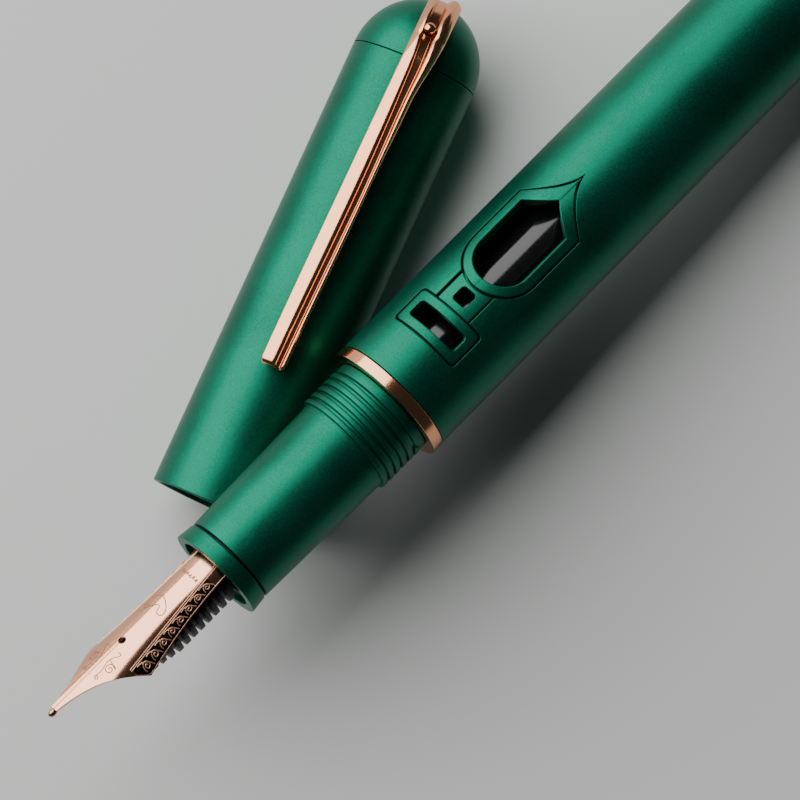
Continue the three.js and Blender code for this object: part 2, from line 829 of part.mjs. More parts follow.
// Smallest gap between the pen and the upper half of the cap's shell.
function capGap(pitch) {
  const crossing = sectionFront + crossingBack;
  const turn = degrees(yaw);
  const level = Math.cos(pitch);
  const axis = new THREE.Vector3(level * Math.cos(turn), -level * Math.sin(turn), -Math.sin(pitch));
  const centre = new THREE.Vector3(0, -crossingOffset, crossingHeight(pitch));
  let smallest = Infinity;
  for (let angle = 0; angle <= 180; angle++) {
    const y = -capRadius * Math.cos(degrees(angle));
    const z = capRadius * (1 + Math.sin(degrees(angle)));
    for (let x = 0; x <= capShoulder; x += scanStep) {
      const offset = new THREE.Vector3(x, y, z).sub(centre);
      const along = offset.dot(axis);
      const distance = Math.sqrt(offset.lengthSq() - along * along);
      smallest = Math.min(smallest, distance - penRadiusAt(crossing + along));
    }
  }
  return smallest;
}

// The pen's slope at which it just clears the cap.
function restPitch() {
  let [low, high] = [0, degrees(steepest)];
  for (let i = 0; i < halvings; i++) {
    const middle = (low + high) / 2;
    if (capGap(middle) < restGap) low = middle;
    else high = middle;
  }
  return high;
}

// ---- assembly ----

const pitch = restPitch();
const pen = new THREE.Group();
pen.name = "pen";
pen.rotation.set(0, pitch, -degrees(yaw), "ZYX");
const crossing = new THREE.Vector3(sectionFront + crossingBack, 0, 0).applyEuler(pen.rotation);
pen.position.set(0, -crossingOffset, crossingHeight(pitch)).sub(crossing);
addBarrel(pen);
addSection(pen);
addConverter(pen);

const cap = new THREE.Group();
cap.name = "cap";
cap.position.z = capRadius * Math.cos(Math.PI / wideFacets);
addCap(cap);

const group = new THREE.Group();
const assembly = new THREE.Group();
assembly.add(pen, cap);
group.add(assembly);
group.updateMatrixWorld(true);
const bounds = new THREE.Box3().setFromObject(group, true);
assembly.position.set(-(bounds.min.x + bounds.max.x) / 2, -(bounds.min.y + bounds.max.y) / 2, -bounds.min.z);

export default group;
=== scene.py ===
# %% [markdown]
# # A fountain pen, leaning on its cap
# The pen is turned and milled from aluminium, anodised green, with rose-gold metal at its nib, ring and
# clip. Almost every piece is either turned on a lathe or cut from sheet and bent, so this lesson builds
# it the same two ways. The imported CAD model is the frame: it says where each piece sits, and the fine
# pieces made here take its place.

import json
import math
from types import SimpleNamespace

import bmesh
import bpy
from mathutils import Matrix, Vector


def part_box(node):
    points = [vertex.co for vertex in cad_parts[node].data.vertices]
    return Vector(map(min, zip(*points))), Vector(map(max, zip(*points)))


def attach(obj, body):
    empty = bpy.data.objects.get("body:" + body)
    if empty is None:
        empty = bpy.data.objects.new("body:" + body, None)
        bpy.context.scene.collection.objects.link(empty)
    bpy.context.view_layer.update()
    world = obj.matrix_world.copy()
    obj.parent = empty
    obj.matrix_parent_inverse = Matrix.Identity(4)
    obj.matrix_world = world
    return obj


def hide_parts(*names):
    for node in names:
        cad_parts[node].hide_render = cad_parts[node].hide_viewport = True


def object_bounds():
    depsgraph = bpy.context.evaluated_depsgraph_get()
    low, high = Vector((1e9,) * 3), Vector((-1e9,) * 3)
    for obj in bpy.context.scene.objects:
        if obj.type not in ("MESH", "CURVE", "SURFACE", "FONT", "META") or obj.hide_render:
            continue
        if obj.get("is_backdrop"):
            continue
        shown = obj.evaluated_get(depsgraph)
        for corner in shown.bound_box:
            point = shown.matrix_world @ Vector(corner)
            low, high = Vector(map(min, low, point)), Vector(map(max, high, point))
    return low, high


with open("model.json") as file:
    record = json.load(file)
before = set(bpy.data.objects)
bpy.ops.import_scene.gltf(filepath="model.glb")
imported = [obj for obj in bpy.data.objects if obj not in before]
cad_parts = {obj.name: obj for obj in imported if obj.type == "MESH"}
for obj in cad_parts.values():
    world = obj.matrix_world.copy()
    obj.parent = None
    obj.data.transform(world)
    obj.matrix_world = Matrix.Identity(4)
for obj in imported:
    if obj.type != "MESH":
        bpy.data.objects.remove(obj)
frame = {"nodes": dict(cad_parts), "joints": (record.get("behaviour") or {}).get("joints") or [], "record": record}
cad_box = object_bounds()
scene = bpy.context.scene

# %% [markdown]
# ## Two workbenches
# A turned piece is easiest to draw along its own axis, in millimetres. The section screws in along the
# pen's axis, so that joint gives the pen's workbench: X runs to the rear, Z points up. The cap lies along
# the world's X. Each workbench is one matrix that carries millimetres drawn on it to metres in the room.

# %% Workbench matrices
MM = 0.001


def bench(origin, rearward):
    """The matrix from millimetres along an axis to its place in the room."""
    sideways = Vector((0, 0, 1)).cross(rearward).normalized()
    axes = Matrix((rearward, sideways, rearward.cross(sideways))).transposed()
    return Matrix.Translation(origin) @ axes.to_4x4() @ Matrix.Scale(MM, 4)


joints = {joint["name"]: joint for joint in frame["joints"]}
screwing = joints["section_turn"]
pen_bench = bench(Vector(screwing["pos_m"]), -Vector(screwing["axis"]).normalized())
shell_low, shell_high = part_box("cap_shell")
cap_middle = (shell_low + shell_high) / 2
cap_bench = bench(Vector((shell_low.x, cap_middle.y, cap_middle.z)), Vector((1, 0, 0)))
window_bench = pen_bench @ Matrix.Rotation(math.radians(-14.6), 4, "X")
nib_bench = pen_bench @ Matrix.Rotation(math.radians(-38), 4, "X")
print("pen slopes", round(math.degrees(math.asin(-pen_bench.col[0].z / MM)), 2), "degrees")

# %% [markdown]
# ## Measuring the CAD pieces
# A lathe hand measures the blank before cutting. The gauge below reads a CAD node on its bench: where it
# starts and ends along the axis, and its smallest and largest radius. The fine pieces take their sizes
# from it, so a change in the CAD model comes through here without a number being typed again.


# %% Gauge for turned pieces
def gauge(node, where=None):
    """Front, rear, smallest and largest radius of a CAD node on its bench, in millimetres."""
    to_bench = (where or pen_bench).inverted()
    points = [to_bench @ vertex.co for vertex in frame["nodes"][node].data.vertices]
    radii = [math.hypot(point.y, point.z) for point in points]
    return SimpleNamespace(
        front=min(point.x for point in points),
        rear=max(point.x for point in points),
        bore=min(radii),
        radius=max(radii),
    )


barrel = gauge("barrel_tube")
shell = gauge("cap_shell", cap_bench)
print(f"barrel radius {barrel.radius:.2f}, cap radius {shell.radius:.2f}, cap to {shell.rear:.2f}")

# %% [markdown]
# ## Camera
# The pen is looked at from almost straight above, leaning a few degrees towards the nib, with a long
# lens, so parallel edges stay nearly parallel. The camera is turned about its own axis until the pen runs
# up to the right.

# %% Camera
camera_distance = 0.5
camera_lean = math.radians(4.4)
camera_roll = math.radians(-65.5)
camera_target = Vector((shell_low.x, cap_middle.y, 0)) + Vector((17.24, -12.61, 10.0)) * MM

lens = bpy.data.cameras.new("long_lens")
lens.lens = 225.8
lens.clip_start = 0.01
camera = bpy.data.objects.new("camera", lens)
scene.collection.objects.link(camera)
aim = Matrix.Rotation(-camera_lean, 3, "Y") @ Matrix.Rotation(camera_roll, 3, "Z")
camera.rotation_euler = aim.to_euler()
camera.location = camera_target + aim @ Vector((0, 0, camera_distance))
scene.camera = camera
print("camera at", [round(value, 3) for value in camera.location])

# %% [markdown]
# ## Floor and light
# A pale plain floor and one large soft panel. It hangs on the nib's upper-left side, where it lays the
# long highlight on the barrel and fills the nib with light. A dim even sky keeps the far sides from going
# black.

# %% Floor and lights
def linear(code):
    """An sRGB hex colour as the linear values that a shader wants."""
    channels = [int(code[i : i + 2], 16) / 255 for i in (1, 3, 5)]
    return tuple(c / 12.92 if c <= 0.04045 else ((c + 0.055) / 1.055) ** 2.4 for c in channels) + (1.0,)


def add(tree, kind, inputs=None, **settings):
    """Adds one node; an input takes a value, or a link when the value is another node's socket."""
    node = tree.nodes.new(kind)
    for name, value in settings.items():
        setattr(node, name, value)
    for name, value in (inputs or {}).items():
        if isinstance(value, bpy.types.NodeSocket):
            tree.links.new(value, node.inputs[name])
        else:
            node.inputs[name].default_value = value
    return node


def panel(name, bearing, height, distance, size, watts, tint="#ffffff"):
    """A soft square light, aimed at the pen from a compass bearing and a height in degrees."""
    turn, rise = math.radians(bearing), math.radians(height)
    away = Vector((math.cos(turn) * math.cos(rise), math.sin(turn) * math.cos(rise), math.sin(rise)))
    light = bpy.data.lights.new(name, "AREA")
    light.shape = "RECTANGLE"
    light.size, light.size_y = size
    light.energy = watts
    light.color = linear(tint)[:3]
    lamp = bpy.data.objects.new(name, light)
    lamp.location = away * distance
    lamp.rotation_euler = (-away).to_track_quat("-Z", "Y").to_euler()
    lamp.visible_camera = False
    scene.collection.objects.link(lamp)
    return lamp


panel("key_panel", 74, 38, 0.6, (0.85, 0.78), 9.5)

world_strength = 0.13
world = bpy.data.worlds.new("studio")
world.use_nodes = True
world.node_tree.nodes["Background"].inputs["Color"].default_value = linear("#8d9296")
world.node_tree.nodes["Background"].inputs["Strength"].default_value = world_strength
scene.world = world

paper = bpy.data.materials.new("pale_floor_paper")
paper.use_nodes = True
paper_shader = paper.node_tree.nodes["Principled BSDF"]
paper_shader.inputs["Base Color"].default_value = linear("#d4d6d3")
paper_shader.inputs["Roughness"].default_value = 0.9
floor_mesh = bpy.data.meshes.new("floor")
floor_reach = 2.0
floor_corners = [(x * floor_reach, y * floor_reach, 0) for x, y in ((-1, -1), (1, -1), (1, 1), (-1, 1))]
floor_mesh.from_pydata(floor_corners, [], [(0, 1, 2, 3)])
floor_mesh.materials.append(paper)
floor = bpy.data.objects.new("floor", floor_mesh)
scene.collection.objects.link(floor)
floor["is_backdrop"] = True

# %% [markdown]
# ## Finishes
# Every finish is one recipe: fine noise at the size of the real grain varies the colour, the roughness
# and a little bump, and a second, cloudy noise stands for handling and uneven plating. Turned metal
# stretches the fine noise round the axis, as a cutting tool does. The values that are the same all over
# sit on the shader itself.


# %% Recipe for a finish
noise_low, noise_high = 0.35, 0.65
cloud_size = 6


def finish(name, tones, metallic, roughness, grain, relief, stretch=(1, 1, 1), where=None, **fixed):
    """A procedural finish: two tones, a roughness range, and a grain size and relief in millimetres."""
    made = bpy.data.materials.new(name)
    made.use_nodes = True
    tree = made.node_tree
    shader = tree.nodes["Principled BSDF"]
    turn = (where or pen_bench).to_euler()
    place = add(tree, "ShaderNodeTexCoord").outputs["Object"]
    axial = add(tree, "ShaderNodeMapping", {"Vector": place, "Rotation": turn}, vector_type="TEXTURE")
    stretched = add(tree, "ShaderNodeMapping", {"Vector": axial.outputs["Vector"], "Scale": stretch})
    fine = add(
        tree,
        "ShaderNodeTexNoise",
        {"Vector": stretched.outputs["Vector"], "Scale": 1 / (grain * MM), "Detail": 2.0, "Roughness": 0.6},
    )
    cloud = add(
        tree, "ShaderNodeTexNoise", {"Vector": place, "Scale": 1 / (cloud_size * MM), "Detail": 3.0}
    )
    mixed = add(
        tree,
        "ShaderNodeMix",
        {"Factor": 0.35, "A": fine.outputs["Fac"], "B": cloud.outputs["Fac"]},
        data_type="FLOAT",
    )
    ramp = add(tree, "ShaderNodeValToRGB", {"Fac": mixed.outputs["Result"]})
    for stop, tone, spot in zip(ramp.color_ramp.elements, tones, (noise_low, noise_high)):
        stop.color = linear(tone)
        stop.position = spot
    dull = add(
        tree,
        "ShaderNodeMapRange",
        {
            "Value": mixed.outputs["Result"],
            "From Min": noise_low,
            "From Max": noise_high,
            "To Min": roughness[0],
            "To Max": roughness[1],
        },
    )
    bump = add(
        tree, "ShaderNodeBump", {"Height": fine.outputs["Fac"], "Distance": relief * MM, "Strength": 0.5}
    )
    tree.links.new(ramp.outputs["Color"], shader.inputs["Base Color"])
    tree.links.new(dull.outputs["Result"], shader.inputs["Roughness"])
    tree.links.new(bump.outputs["Normal"], shader.inputs["Normal"])
    shader.inputs["Metallic"].default_value = metallic
    for socket, value in fixed.items():
        shader.inputs[socket.replace("_", " ")].default_value = value
    return made


# Bead-blasted and dyed oxide: a satin metal that sparkles faintly. The grit is 0.1 mm, drawn at 0.16 mm
# to show.
anodised_green = finish(
    "anodised_aluminium_blasted_green", ("#00503c", "#006c52"), 0.85, (0.36, 0.46), 0.16, 0.012
)
# Electroplated and buffed: a mirror with faint polishing lines.
rose_gold = finish(
    "rose_gold_plate_buffed", ("#e09a70", "#eaa981"), 1.0, (0.14, 0.19), 0.3, 0.0003, (8, 1, 1)
)
# The nib is stamped, ground and polished, so its lines run towards the tip.
rose_gold_nib = finish(
    "rose_gold_plated_steel_polished", ("#e8a482", "#f0b492"), 1.0, (0.13, 0.18), 0.3, 0.0004, (1, 8, 8)
)
# Lines engraved through the polish are duller and rougher; their darker colour is painted shade, standing in for
# the shade inside the cuts.
engraved_cut_painted_shade = finish("rose_gold_engraved_line", ("#8a4f34", "#a5653f"), 0.4, (0.5, 0.65), 0.1, 0.002)
# Raised scrollwork is left satin by the engraver, so it stays light from every side.
scroll_gold = finish("rose_gold_plate_satin_relief", ("#e6a684", "#f4bd9a"), 0.8, (0.38, 0.5), 0.1, 0.002)
# Enamel that fills the flanks: black, glossy, a little uneven.
enamel = finish("black_enamel_fired", ("#070606", "#0d0b0a"), 0.0, (0.12, 0.25), 0.4, 0.003)
# Hard alloy ground on a wheel.
tip_alloy = finish("hard_alloy_ground", ("#b98a70", "#d2a389"), 1.0, (0.22, 0.32), 0.08, 0.002)
# Injection-moulded ABS with a fine satin texture.
moulded_black = finish("abs_moulded_satin_black", ("#0a0a0a", "#141414"), 0.0, (0.42, 0.55), 0.12, 0.006)
# The ink tube is moulded clear, but dark with ink: a glossy black with soft moulding waves.
ink_tube = finish("polycarbonate_moulded_ink_dark", ("#0b0b0c", "#131314"), 0.0, (0.1, 0.16), 1.5, 0.004)
# Nitrile rubber: matt, dry and faintly mottled.
nitrile = finish("nitrile_rubber_moulded", ("#0c0c0c", "#191919"), 0.0, (0.7, 0.85), 0.2, 0.01)
# Bar stock cut on a lathe keeps fine rings from the tool.
turned_brass = finish(
    "brass_turned", ("#a17c3f", "#c79f5b"), 1.0, (0.25, 0.38), 0.08, 0.004, (1, 0.04, 0.04)
)
turned_steel = finish(
    "stainless_steel_turned", ("#9a9c9e", "#c4c6c8"), 1.0, (0.22, 0.35), 0.08, 0.004, (1, 0.04, 0.04)
)
print("finishes:", [made.name for made in bpy.data.materials])

# %% [markdown]
# ## Turning
# A lathe spins a bar while a tool follows an outline. Here the outline is a list of (x, radius) points,
# and the mesh is spun from it. A tool never leaves a perfectly sharp corner, and the thin bright line
# that light draws on a rounded edge is what makes metal look real, so every corner gets a small radius.
# Screw and Bevel modifiers could do this, but a spun list keeps the rings even and lets each flat keep
# its true normal beside the round.


# %% Lathe
def rounded(outline, reach):
    """The closed outline with each corner eased over a short reach."""
    eased = []
    for i, point in enumerate(outline):
        corner = Vector(point)
        before = Vector(outline[i - 1]) - corner
        after = Vector(outline[(i + 1) % len(outline)]) - corner
        bend = math.pi - before.angle(after)
        if corner.y < 1e-6 or bend < math.radians(14):
            eased.append(corner)
            continue
        cut = min(reach, before.length / 3, after.length / 3)
        start, end = corner + before.normalized() * cut, corner + after.normalized() * cut
        eased.append(corner + before.normalized() * cut * 1.45)
        for step in range(5):
            t = step / 4
            eased.append(start * (1 - t) ** 2 + corner * 2 * t * (1 - t) + end * t**2)
        eased.append(corner + after.normalized() * cut * 1.45)
    return eased


def as_mesh(sculpt, name):
    """Turns a bmesh into a smooth-shaded mesh with outward faces and real creases kept."""
    bmesh.ops.recalc_face_normals(sculpt, faces=sculpt.faces)
    mesh = bpy.data.meshes.new(name)
    sculpt.to_mesh(mesh)
    sculpt.free()
    mesh.shade_smooth()
    mesh.set_sharp_from_angle(angle=math.radians(38))
    return mesh


def turned(name, outline, facets=160, reach=0.08):
    """A mesh spun round the bench's X axis."""
    sculpt = bmesh.new()
    turns = [2 * math.pi * i / facets for i in range(facets)]
    rings = []
    for x, radius in rounded(outline, reach):
        around = turns if radius > 1e-6 else [0]
        rings.append([sculpt.verts.new((x, radius * math.sin(a), radius * math.cos(a))) for a in around])
    for ring, following in zip(rings, rings[1:] + rings[:1]):
        for i in range(facets):
            round_face = ((ring, i), (ring, i + 1), (following, i + 1), (following, i))
            corners = list(dict.fromkeys(loop[k % len(loop)] for loop, k in round_face))
            if len(corners) > 2:
                sculpt.faces.new(corners)
    return as_mesh(sculpt, name)


def dome(shoulder, length, radius, steps=28):
    """Outline points of an elliptical dome, from its shoulder to its tip on the axis."""
    turns = [math.pi / 2 * i / steps for i in range(steps)]
    return [(shoulder + length * math.sin(a), radius * math.cos(a)) for a in turns] + [(shoulder + length, 0)]


def tube(name, size, facets=160, reach=0.08):
    """A plain ring or tube, of the size that the gauge gave."""
    front, rear = size.front, size.rear
    outline = [(front, size.bore), (front, size.radius), (rear, size.radius), (rear, size.bore)]
    return turned(name, outline, facets, reach)


# %% [markdown]
# ## Handing a piece over
# A finished mesh is carried from its bench to its place, gets its finish, rides on the body that its CAD
# node belongs to, and stands for that node. The record already says which body that is.

# %% Hand a piece to the frame
bodies = {node: body for body, nodes in frame["record"]["behaviour"]["bodies"].items() for node in nodes}


def settle(mesh, where, node, surface, name=None):
    """Places a mesh for a CAD node; a piece with its own name goes with the node, but doesn't replace it."""
    mesh.transform(where)
    mesh.materials.clear()
    mesh.materials.append(surface)
    made = bpy.data.objects.new(name or node + "_fine", mesh)
    scene.collection.objects.link(made)
    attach(made, bodies[node])
    if not name:
        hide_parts(node)
    mesh.calc_loop_triangles()
    print(f"{made.name}: {len(mesh.loop_triangles)} triangles")
    return made


# %% [markdown]
# ## Barrel end, trim ring and thread sleeve
# The barrel's closed end is turned with a plug that is pressed into the tube. The ring is a plain plated
# band; its edges are broken by a tenth of a millimetre, which gives the bright hairline beside the green.

# %% Turned barrel pieces
end = gauge("barrel_end")
face_gap = 0.15
plug_shoulder = barrel.rear + face_gap
end_outline = [(end.front, 0), (end.front, end.radius - 1.3), (plug_shoulder, end.radius - 1.3)]
end_outline += dome(plug_shoulder, end.rear - plug_shoulder, end.radius)
settle(turned("barrel_end", end_outline), pen_bench, "barrel_end", anodised_green)
ring = gauge("trim_ring")
settle(tube("trim_ring", ring, 192, 0.1), pen_bench, "trim_ring", rose_gold)
sleeve = gauge("barrel_thread_sleeve")
settle(tube("sleeve", sleeve), pen_bench, "barrel_thread_sleeve", turned_brass)

# %% [markdown]
# ## Sheet work: cut flat, then bend
# The window trims and the nib are curved, but their shapes are drawn flat, and so is the barrel's skin
# with its pocket. A filled 2D curve gives a plate with holes and eased edges. The plate is sliced so that
# it can bend, and then a rule moves every point. The flat plate's normals are turned by the same rule, so
# the curved face shades like a true cylinder, however long and thin its triangles are.


# %% Plates and bending
def plate(outlines, low, high, edge):
    """A flat plate between two heights: the first outline is its rim, the others are holes."""
    curve = bpy.data.curves.new("plate", "CURVE")
    curve.dimensions = "2D"
    curve.fill_mode = "BOTH"
    curve.extrude = (high - low) / 2 - edge
    curve.bevel_depth = edge
    curve.bevel_resolution = 2
    curve.offset = -edge
    for outline in outlines:
        spline = curve.splines.new("POLY")
        spline.points.add(len(outline) - 1)
        for point, (x, y) in zip(spline.points, outline):
            point.co = (x, y, 0, 1)
        spline.use_cyclic_u = True
    blank = bpy.data.objects.new("plate", curve)
    scene.collection.objects.link(blank)
    mesh = bpy.data.meshes.new_from_object(blank.evaluated_get(bpy.context.evaluated_depsgraph_get()))
    bpy.data.objects.remove(blank)
    bpy.data.curves.remove(curve)
    mesh.transform(Matrix.Translation((0, 0, (low + high) / 2)))
    return mesh


def sliced(mesh, direction, spacing, keep=None):
    """Cuts a flat mesh across a direction at even steps; keep trims it to that far from the middle."""
    sculpt = bmesh.new()
    sculpt.from_mesh(mesh)
    bmesh.ops.remove_doubles(sculpt, verts=sculpt.verts, dist=1e-4)
    along = [vertex.co.dot(direction) for vertex in sculpt.verts]
    low, high = (-keep, keep) if keep else (min(along), max(along))
    count = math.ceil((high - low) / spacing)
    for i in range(count + 1):
        if not keep and i in (0, count):
            continue
        place = direction * (low + (high - low) * i / count)
        everything = sculpt.verts[:] + sculpt.edges[:] + sculpt.faces[:]
        bmesh.ops.bisect_plane(
            sculpt,
            geom=everything,
            plane_co=place,
            plane_no=direction,
            clear_inner=bool(keep) and i == 0,
            clear_outer=bool(keep) and i == count,
        )
    sculpt.to_mesh(mesh)
    sculpt.free()
    return mesh


def bent(mesh, rule, nudge=1e-3):
    """Moves each point by the rule, and turns each face's normal with it."""
    mesh.update()
    steps = (Vector((nudge, 0, 0)), Vector((0, nudge, 0)), Vector((0, 0, nudge)))
    places, frames = [], []
    for vertex in mesh.vertices:
        at = Vector(rule(*vertex.co))
        along, across, up = (Vector(rule(*(vertex.co + step))) - at for step in steps)
        places.append(at)
        frames.append((across.cross(up), up.cross(along), along.cross(across)))
    normals = []
    for face in mesh.polygons:
        for corner in face.vertices:
            turned_normal = sum((axis * part for axis, part in zip(frames[corner], face.normal)), Vector())
            normals.append(turned_normal.normalized())
    for vertex, place in zip(mesh.vertices, places):
        vertex.co = place
    mesh.shade_smooth()
    mesh.normals_split_custom_set(normals)
    return mesh


def round_barrel(x, around, radius):
    """The rule that rolls a flat plate onto the barrel; its Y is measured round the outside."""
    turn = around / barrel.radius
    return x, radius * math.sin(turn), radius * math.cos(turn)


# %% [markdown]
# ## Outlines of the window trim
# Three inlaid pieces sit in one milled pocket: a rectangular gate, a small bridge, and an arch with a
# round front and an ogee point. Their sizes are read across the chord, as a drawing would give them, and
# then measured round the barrel for the flat plate. One half of each outline is drawn, and the other half
# is its mirror.

# %% Half outlines
gate = gauge("window_frame_gate", window_bench)
arch = gauge("window_frame_arch", window_bench)
parting = 0.2
gate_half, bridge_half, arch_half = 3.775, 2.05, 3.92
arch_reach, arch_straight, arch_point = 4.2, 6.45, 4.75
arch_centre = arch.front + arch_reach
arch_shoulder = arch_centre + arch_straight


def arc(centre, reach, start, stop, steps):
    """Points of an ellipse's arc, angles in degrees from +X."""
    turns = [math.radians(start + (stop - start) * i / steps) for i in range(steps + 1)]
    return [(centre[0] + reach[0] * math.cos(a), centre[1] + reach[1] * math.sin(a)) for a in turns]


def sweep(start, pull, end, steps=24):
    """Points of a curve that leaves one point and reaches another, drawn towards a third."""
    shares = [i / steps for i in range(steps + 1)]
    return [
        tuple(a * (1 - t) ** 2 + b * 2 * t * (1 - t) + c * t**2 for a, b, c in zip(start, pull, end))
        for t in shares
    ]


def corner(x, y, size, from_angle):
    """A rounded corner of a rectangle, drawn from its outermost point (x, y)."""
    middle = from_angle + 45
    centre = (
        x - math.copysign(size, math.cos(math.radians(middle))),
        y - math.copysign(size, math.sin(math.radians(middle))),
    )
    return arc(centre, (size, size), from_angle, from_angle + 90, 8)


def box_half(front, rear, half, size):
    """Upper half of a rectangle with round corners, from rear to front."""
    return corner(rear, half, size, 0) + corner(front, half, size, 90)


def arch_half_outline(grow, reach, half, shoulder, point, pull):
    """Upper half of the arch, from its point to its round front."""
    tip = (shoulder + point + 2 * grow, 0)
    flank = sweep(tip, (shoulder + pull[0], pull[1] + grow), (shoulder, half + grow))
    return flank + arc((arch_centre, 0), (reach + grow, half + grow), 90, 180, 40)


def whole(half_outline):
    """Both halves of an outline, measured round the barrel."""
    mirrored = [(x, -y) for x, y in reversed(half_outline) if abs(y) > 1e-6]
    return [(x, barrel.radius * math.asin(y / barrel.radius)) for x, y in half_outline + mirrored]


arch_pull, hole_pull = (2.55, 0.3), (1.1, 1.1)
gate_rim = box_half(gate.front, gate.rear, gate_half, 0.45)
arch_rim = arch_half_outline(0, arch_reach, arch_half, arch_shoulder, arch_point, arch_pull)
gate_bar, gate_rail, hole_corner = 1.0, 0.8, 0.4
bridge_hole_front, bridge_hole_rear, bridge_hole_half = 0.95, 2.75, 0.9
arch_bar, arch_rail, arch_rear_bar, arch_hole_point = 1.1, 0.88, 0.8, 2.25


def hole_halves(grow):
    """Upper halves of the holes in gate, bridge and arch, grown by a distance on every side."""
    front, rear = gate.front + gate_bar - grow, gate.rear - gate_bar + grow
    near, far = gate.rear + bridge_hole_front - grow, gate.rear + bridge_hole_rear + grow
    reach, half = arch_reach - arch_bar, arch_half - arch_rail
    return [
        box_half(front, rear, gate_half - gate_rail + grow, hole_corner),
        box_half(near, far, bridge_hole_half + grow, hole_corner),
        arch_half_outline(grow, reach, half, arch_shoulder - arch_rear_bar, arch_hole_point, hole_pull),
    ]


def pocket_half():
    """Upper half of the milled pocket, from the arch's point to the gate's front."""
    outline = arch_half_outline(parting, arch_reach, arch_half, arch_shoulder, arch_point, arch_pull)
    side = bridge_half + parting
    outline = [point for point in outline if point[0] > arch_centre or point[1] > side]
    outline += [(outline[-1][0], side), (gate.rear + parting, side)]
    return outline + box_half(gate.front - parting, gate.rear + parting, gate_half + parting, 0.5)


def bridge_half_outline():
    """Upper half of the bridge, whose rear follows the arch's round front."""
    front = gate.rear + parting
    round_front = arc((arch_centre, 0), (arch_reach + parting, arch_half + parting), 180, 90, 60)
    notch = [point for point in round_front if point[1] < bridge_half]
    return notch + [(notch[-1][0], bridge_half), (front, bridge_half)]


print("pocket from", round(gate.front, 2), "to", round(arch_shoulder + arch_point, 2), "mm")

# %% [markdown]
# ## Barrel tube
# The tube is two skins: an outer one with the pocket milled through it, and an inner one with the three
# openings. Each is a flat sheet as wide as the barrel is round, sliced every three degrees and rolled up.
# Where its two edges meet, underneath, they touch but are left unjoined.

# %% Barrel skins
pocket_floor = barrel.radius - 0.8
ledge = 0.25


def rolled_skin(outlines, low, high, edge):
    """A sheet with holes, rolled into a closed tube; its heights are radii."""
    turn_round = math.pi * barrel.radius
    front, rear = barrel.front, barrel.rear
    side = turn_round + 1.0
    rim = [(front, -side), (rear, -side), (rear, side), (front, side)]
    sheet = sliced(plate([rim] + outlines, low, high, edge), Vector((0, 1, 0)), turn_round / 60, turn_round)
    return bent(sheet, round_barrel)


def joined(meshes):
    """Several meshes as one; each keeps its own normals."""
    parts = []
    for mesh in meshes:
        part = bpy.data.objects.new(mesh.name, mesh)
        scene.collection.objects.link(part)
        parts.append(part)
    with bpy.context.temp_override(active_object=parts[0], selected_editable_objects=parts):
        bpy.ops.object.join()
    whole_mesh = parts[0].data
    bpy.data.objects.remove(parts[0])
    return whole_mesh


outer_skin = rolled_skin([whole(pocket_half())], pocket_floor - 0.05, barrel.radius, 0.06)
openings = [whole(half) for half in hole_halves(ledge)]
inner_skin = rolled_skin(openings, barrel.bore, pocket_floor, 0.03)
settle(joined([outer_skin, inner_skin]), window_bench, "barrel_tube", anodised_green)

# %% [markdown]
# ## Window trim
# The frames lie about flush with the barrel, with a clear bevel that catches the light. The bridge is set
# lower, so its walls fall into shade.

# %% Trim pieces
trim_edge = 0.12


def trim(node, rim, hole, drop, edge):
    """One inlaid piece, set a little above or below the barrel's surface."""
    top = barrel.radius - drop
    sheet = plate([whole(rim), whole(hole)], top - 0.75, top, edge)
    sheet = sliced(sheet, Vector((0, 1, 0)), barrel.radius * math.radians(3))
    settle(bent(sheet, round_barrel), window_bench, node, anodised_green)


gate_hole, bridge_hole, arch_hole = hole_halves(0)
trim("window_frame_gate", gate_rim, gate_hole, -0.04, trim_edge)
trim("window_bridge", bridge_half_outline(), bridge_hole, 0.2, 0.05)
trim("window_frame_arch", arch_rim, arch_hole, -0.04, trim_edge)

# %% [markdown]
# ## Grip section
# The grip is one turned piece: a slightly tapered grip, a thread for the cap, a plain neck, and behind it
# the nipple that goes into the barrel. A flared end ring is parted from it by a fine groove. The blank is
# turned with a plain root where the thread will be.

# %% Grip section and its end ring
grip = gauge("grip_section")
neck_length, thread_depth, thread_pitch, thread_turns = 1.2, 0.35, 0.9, 5
thread_root = grip.radius - thread_depth
thread_rear = -neck_length
thread_front = thread_rear - thread_pitch * thread_turns
nose = gauge("section_end_ring")
grip_front_radius, grip_rear_radius = nose.radius - 0.23, grip.radius - 0.4
sleeve_bore = sleeve.bore - 0.2
grip_outline = [
    (grip.front, grip.bore),
    (grip.front, grip_front_radius),
    (thread_front - 0.45, grip_rear_radius),
    (thread_front - 0.3, thread_root),
    (thread_rear, thread_root),
    (thread_rear + 0.12, grip.radius - 0.1),
    (-0.03, grip.radius - 0.1),
    (-0.03, sleeve_bore),
    (grip.rear, sleeve_bore),
    (grip.rear, grip.bore),
]
settle(turned("grip", grip_outline, 192, 0.1), pen_bench, "grip_section", anodised_green)
nose_outline = [
    (nose.front, nose.bore),
    (nose.front, nose.radius),
    (nose.rear, grip_front_radius + 0.02),
    (nose.rear, nose.bore),
]
settle(turned("nose", nose_outline, 192, 0.12), pen_bench, "section_end_ring", anodised_green)

# %% [markdown]
# ## Threads as Geometry Nodes
# A thread is a ridge that climbs evenly round a cylinder, so it follows a rule and suits Geometry Nodes:
# a spiral curve, a rounded ridge profile carried along it, and ends that shrink away as a cutter leaves
# the metal. The tree takes its sizes as named inputs, so the cap thread and the converter's screw rod
# share it.


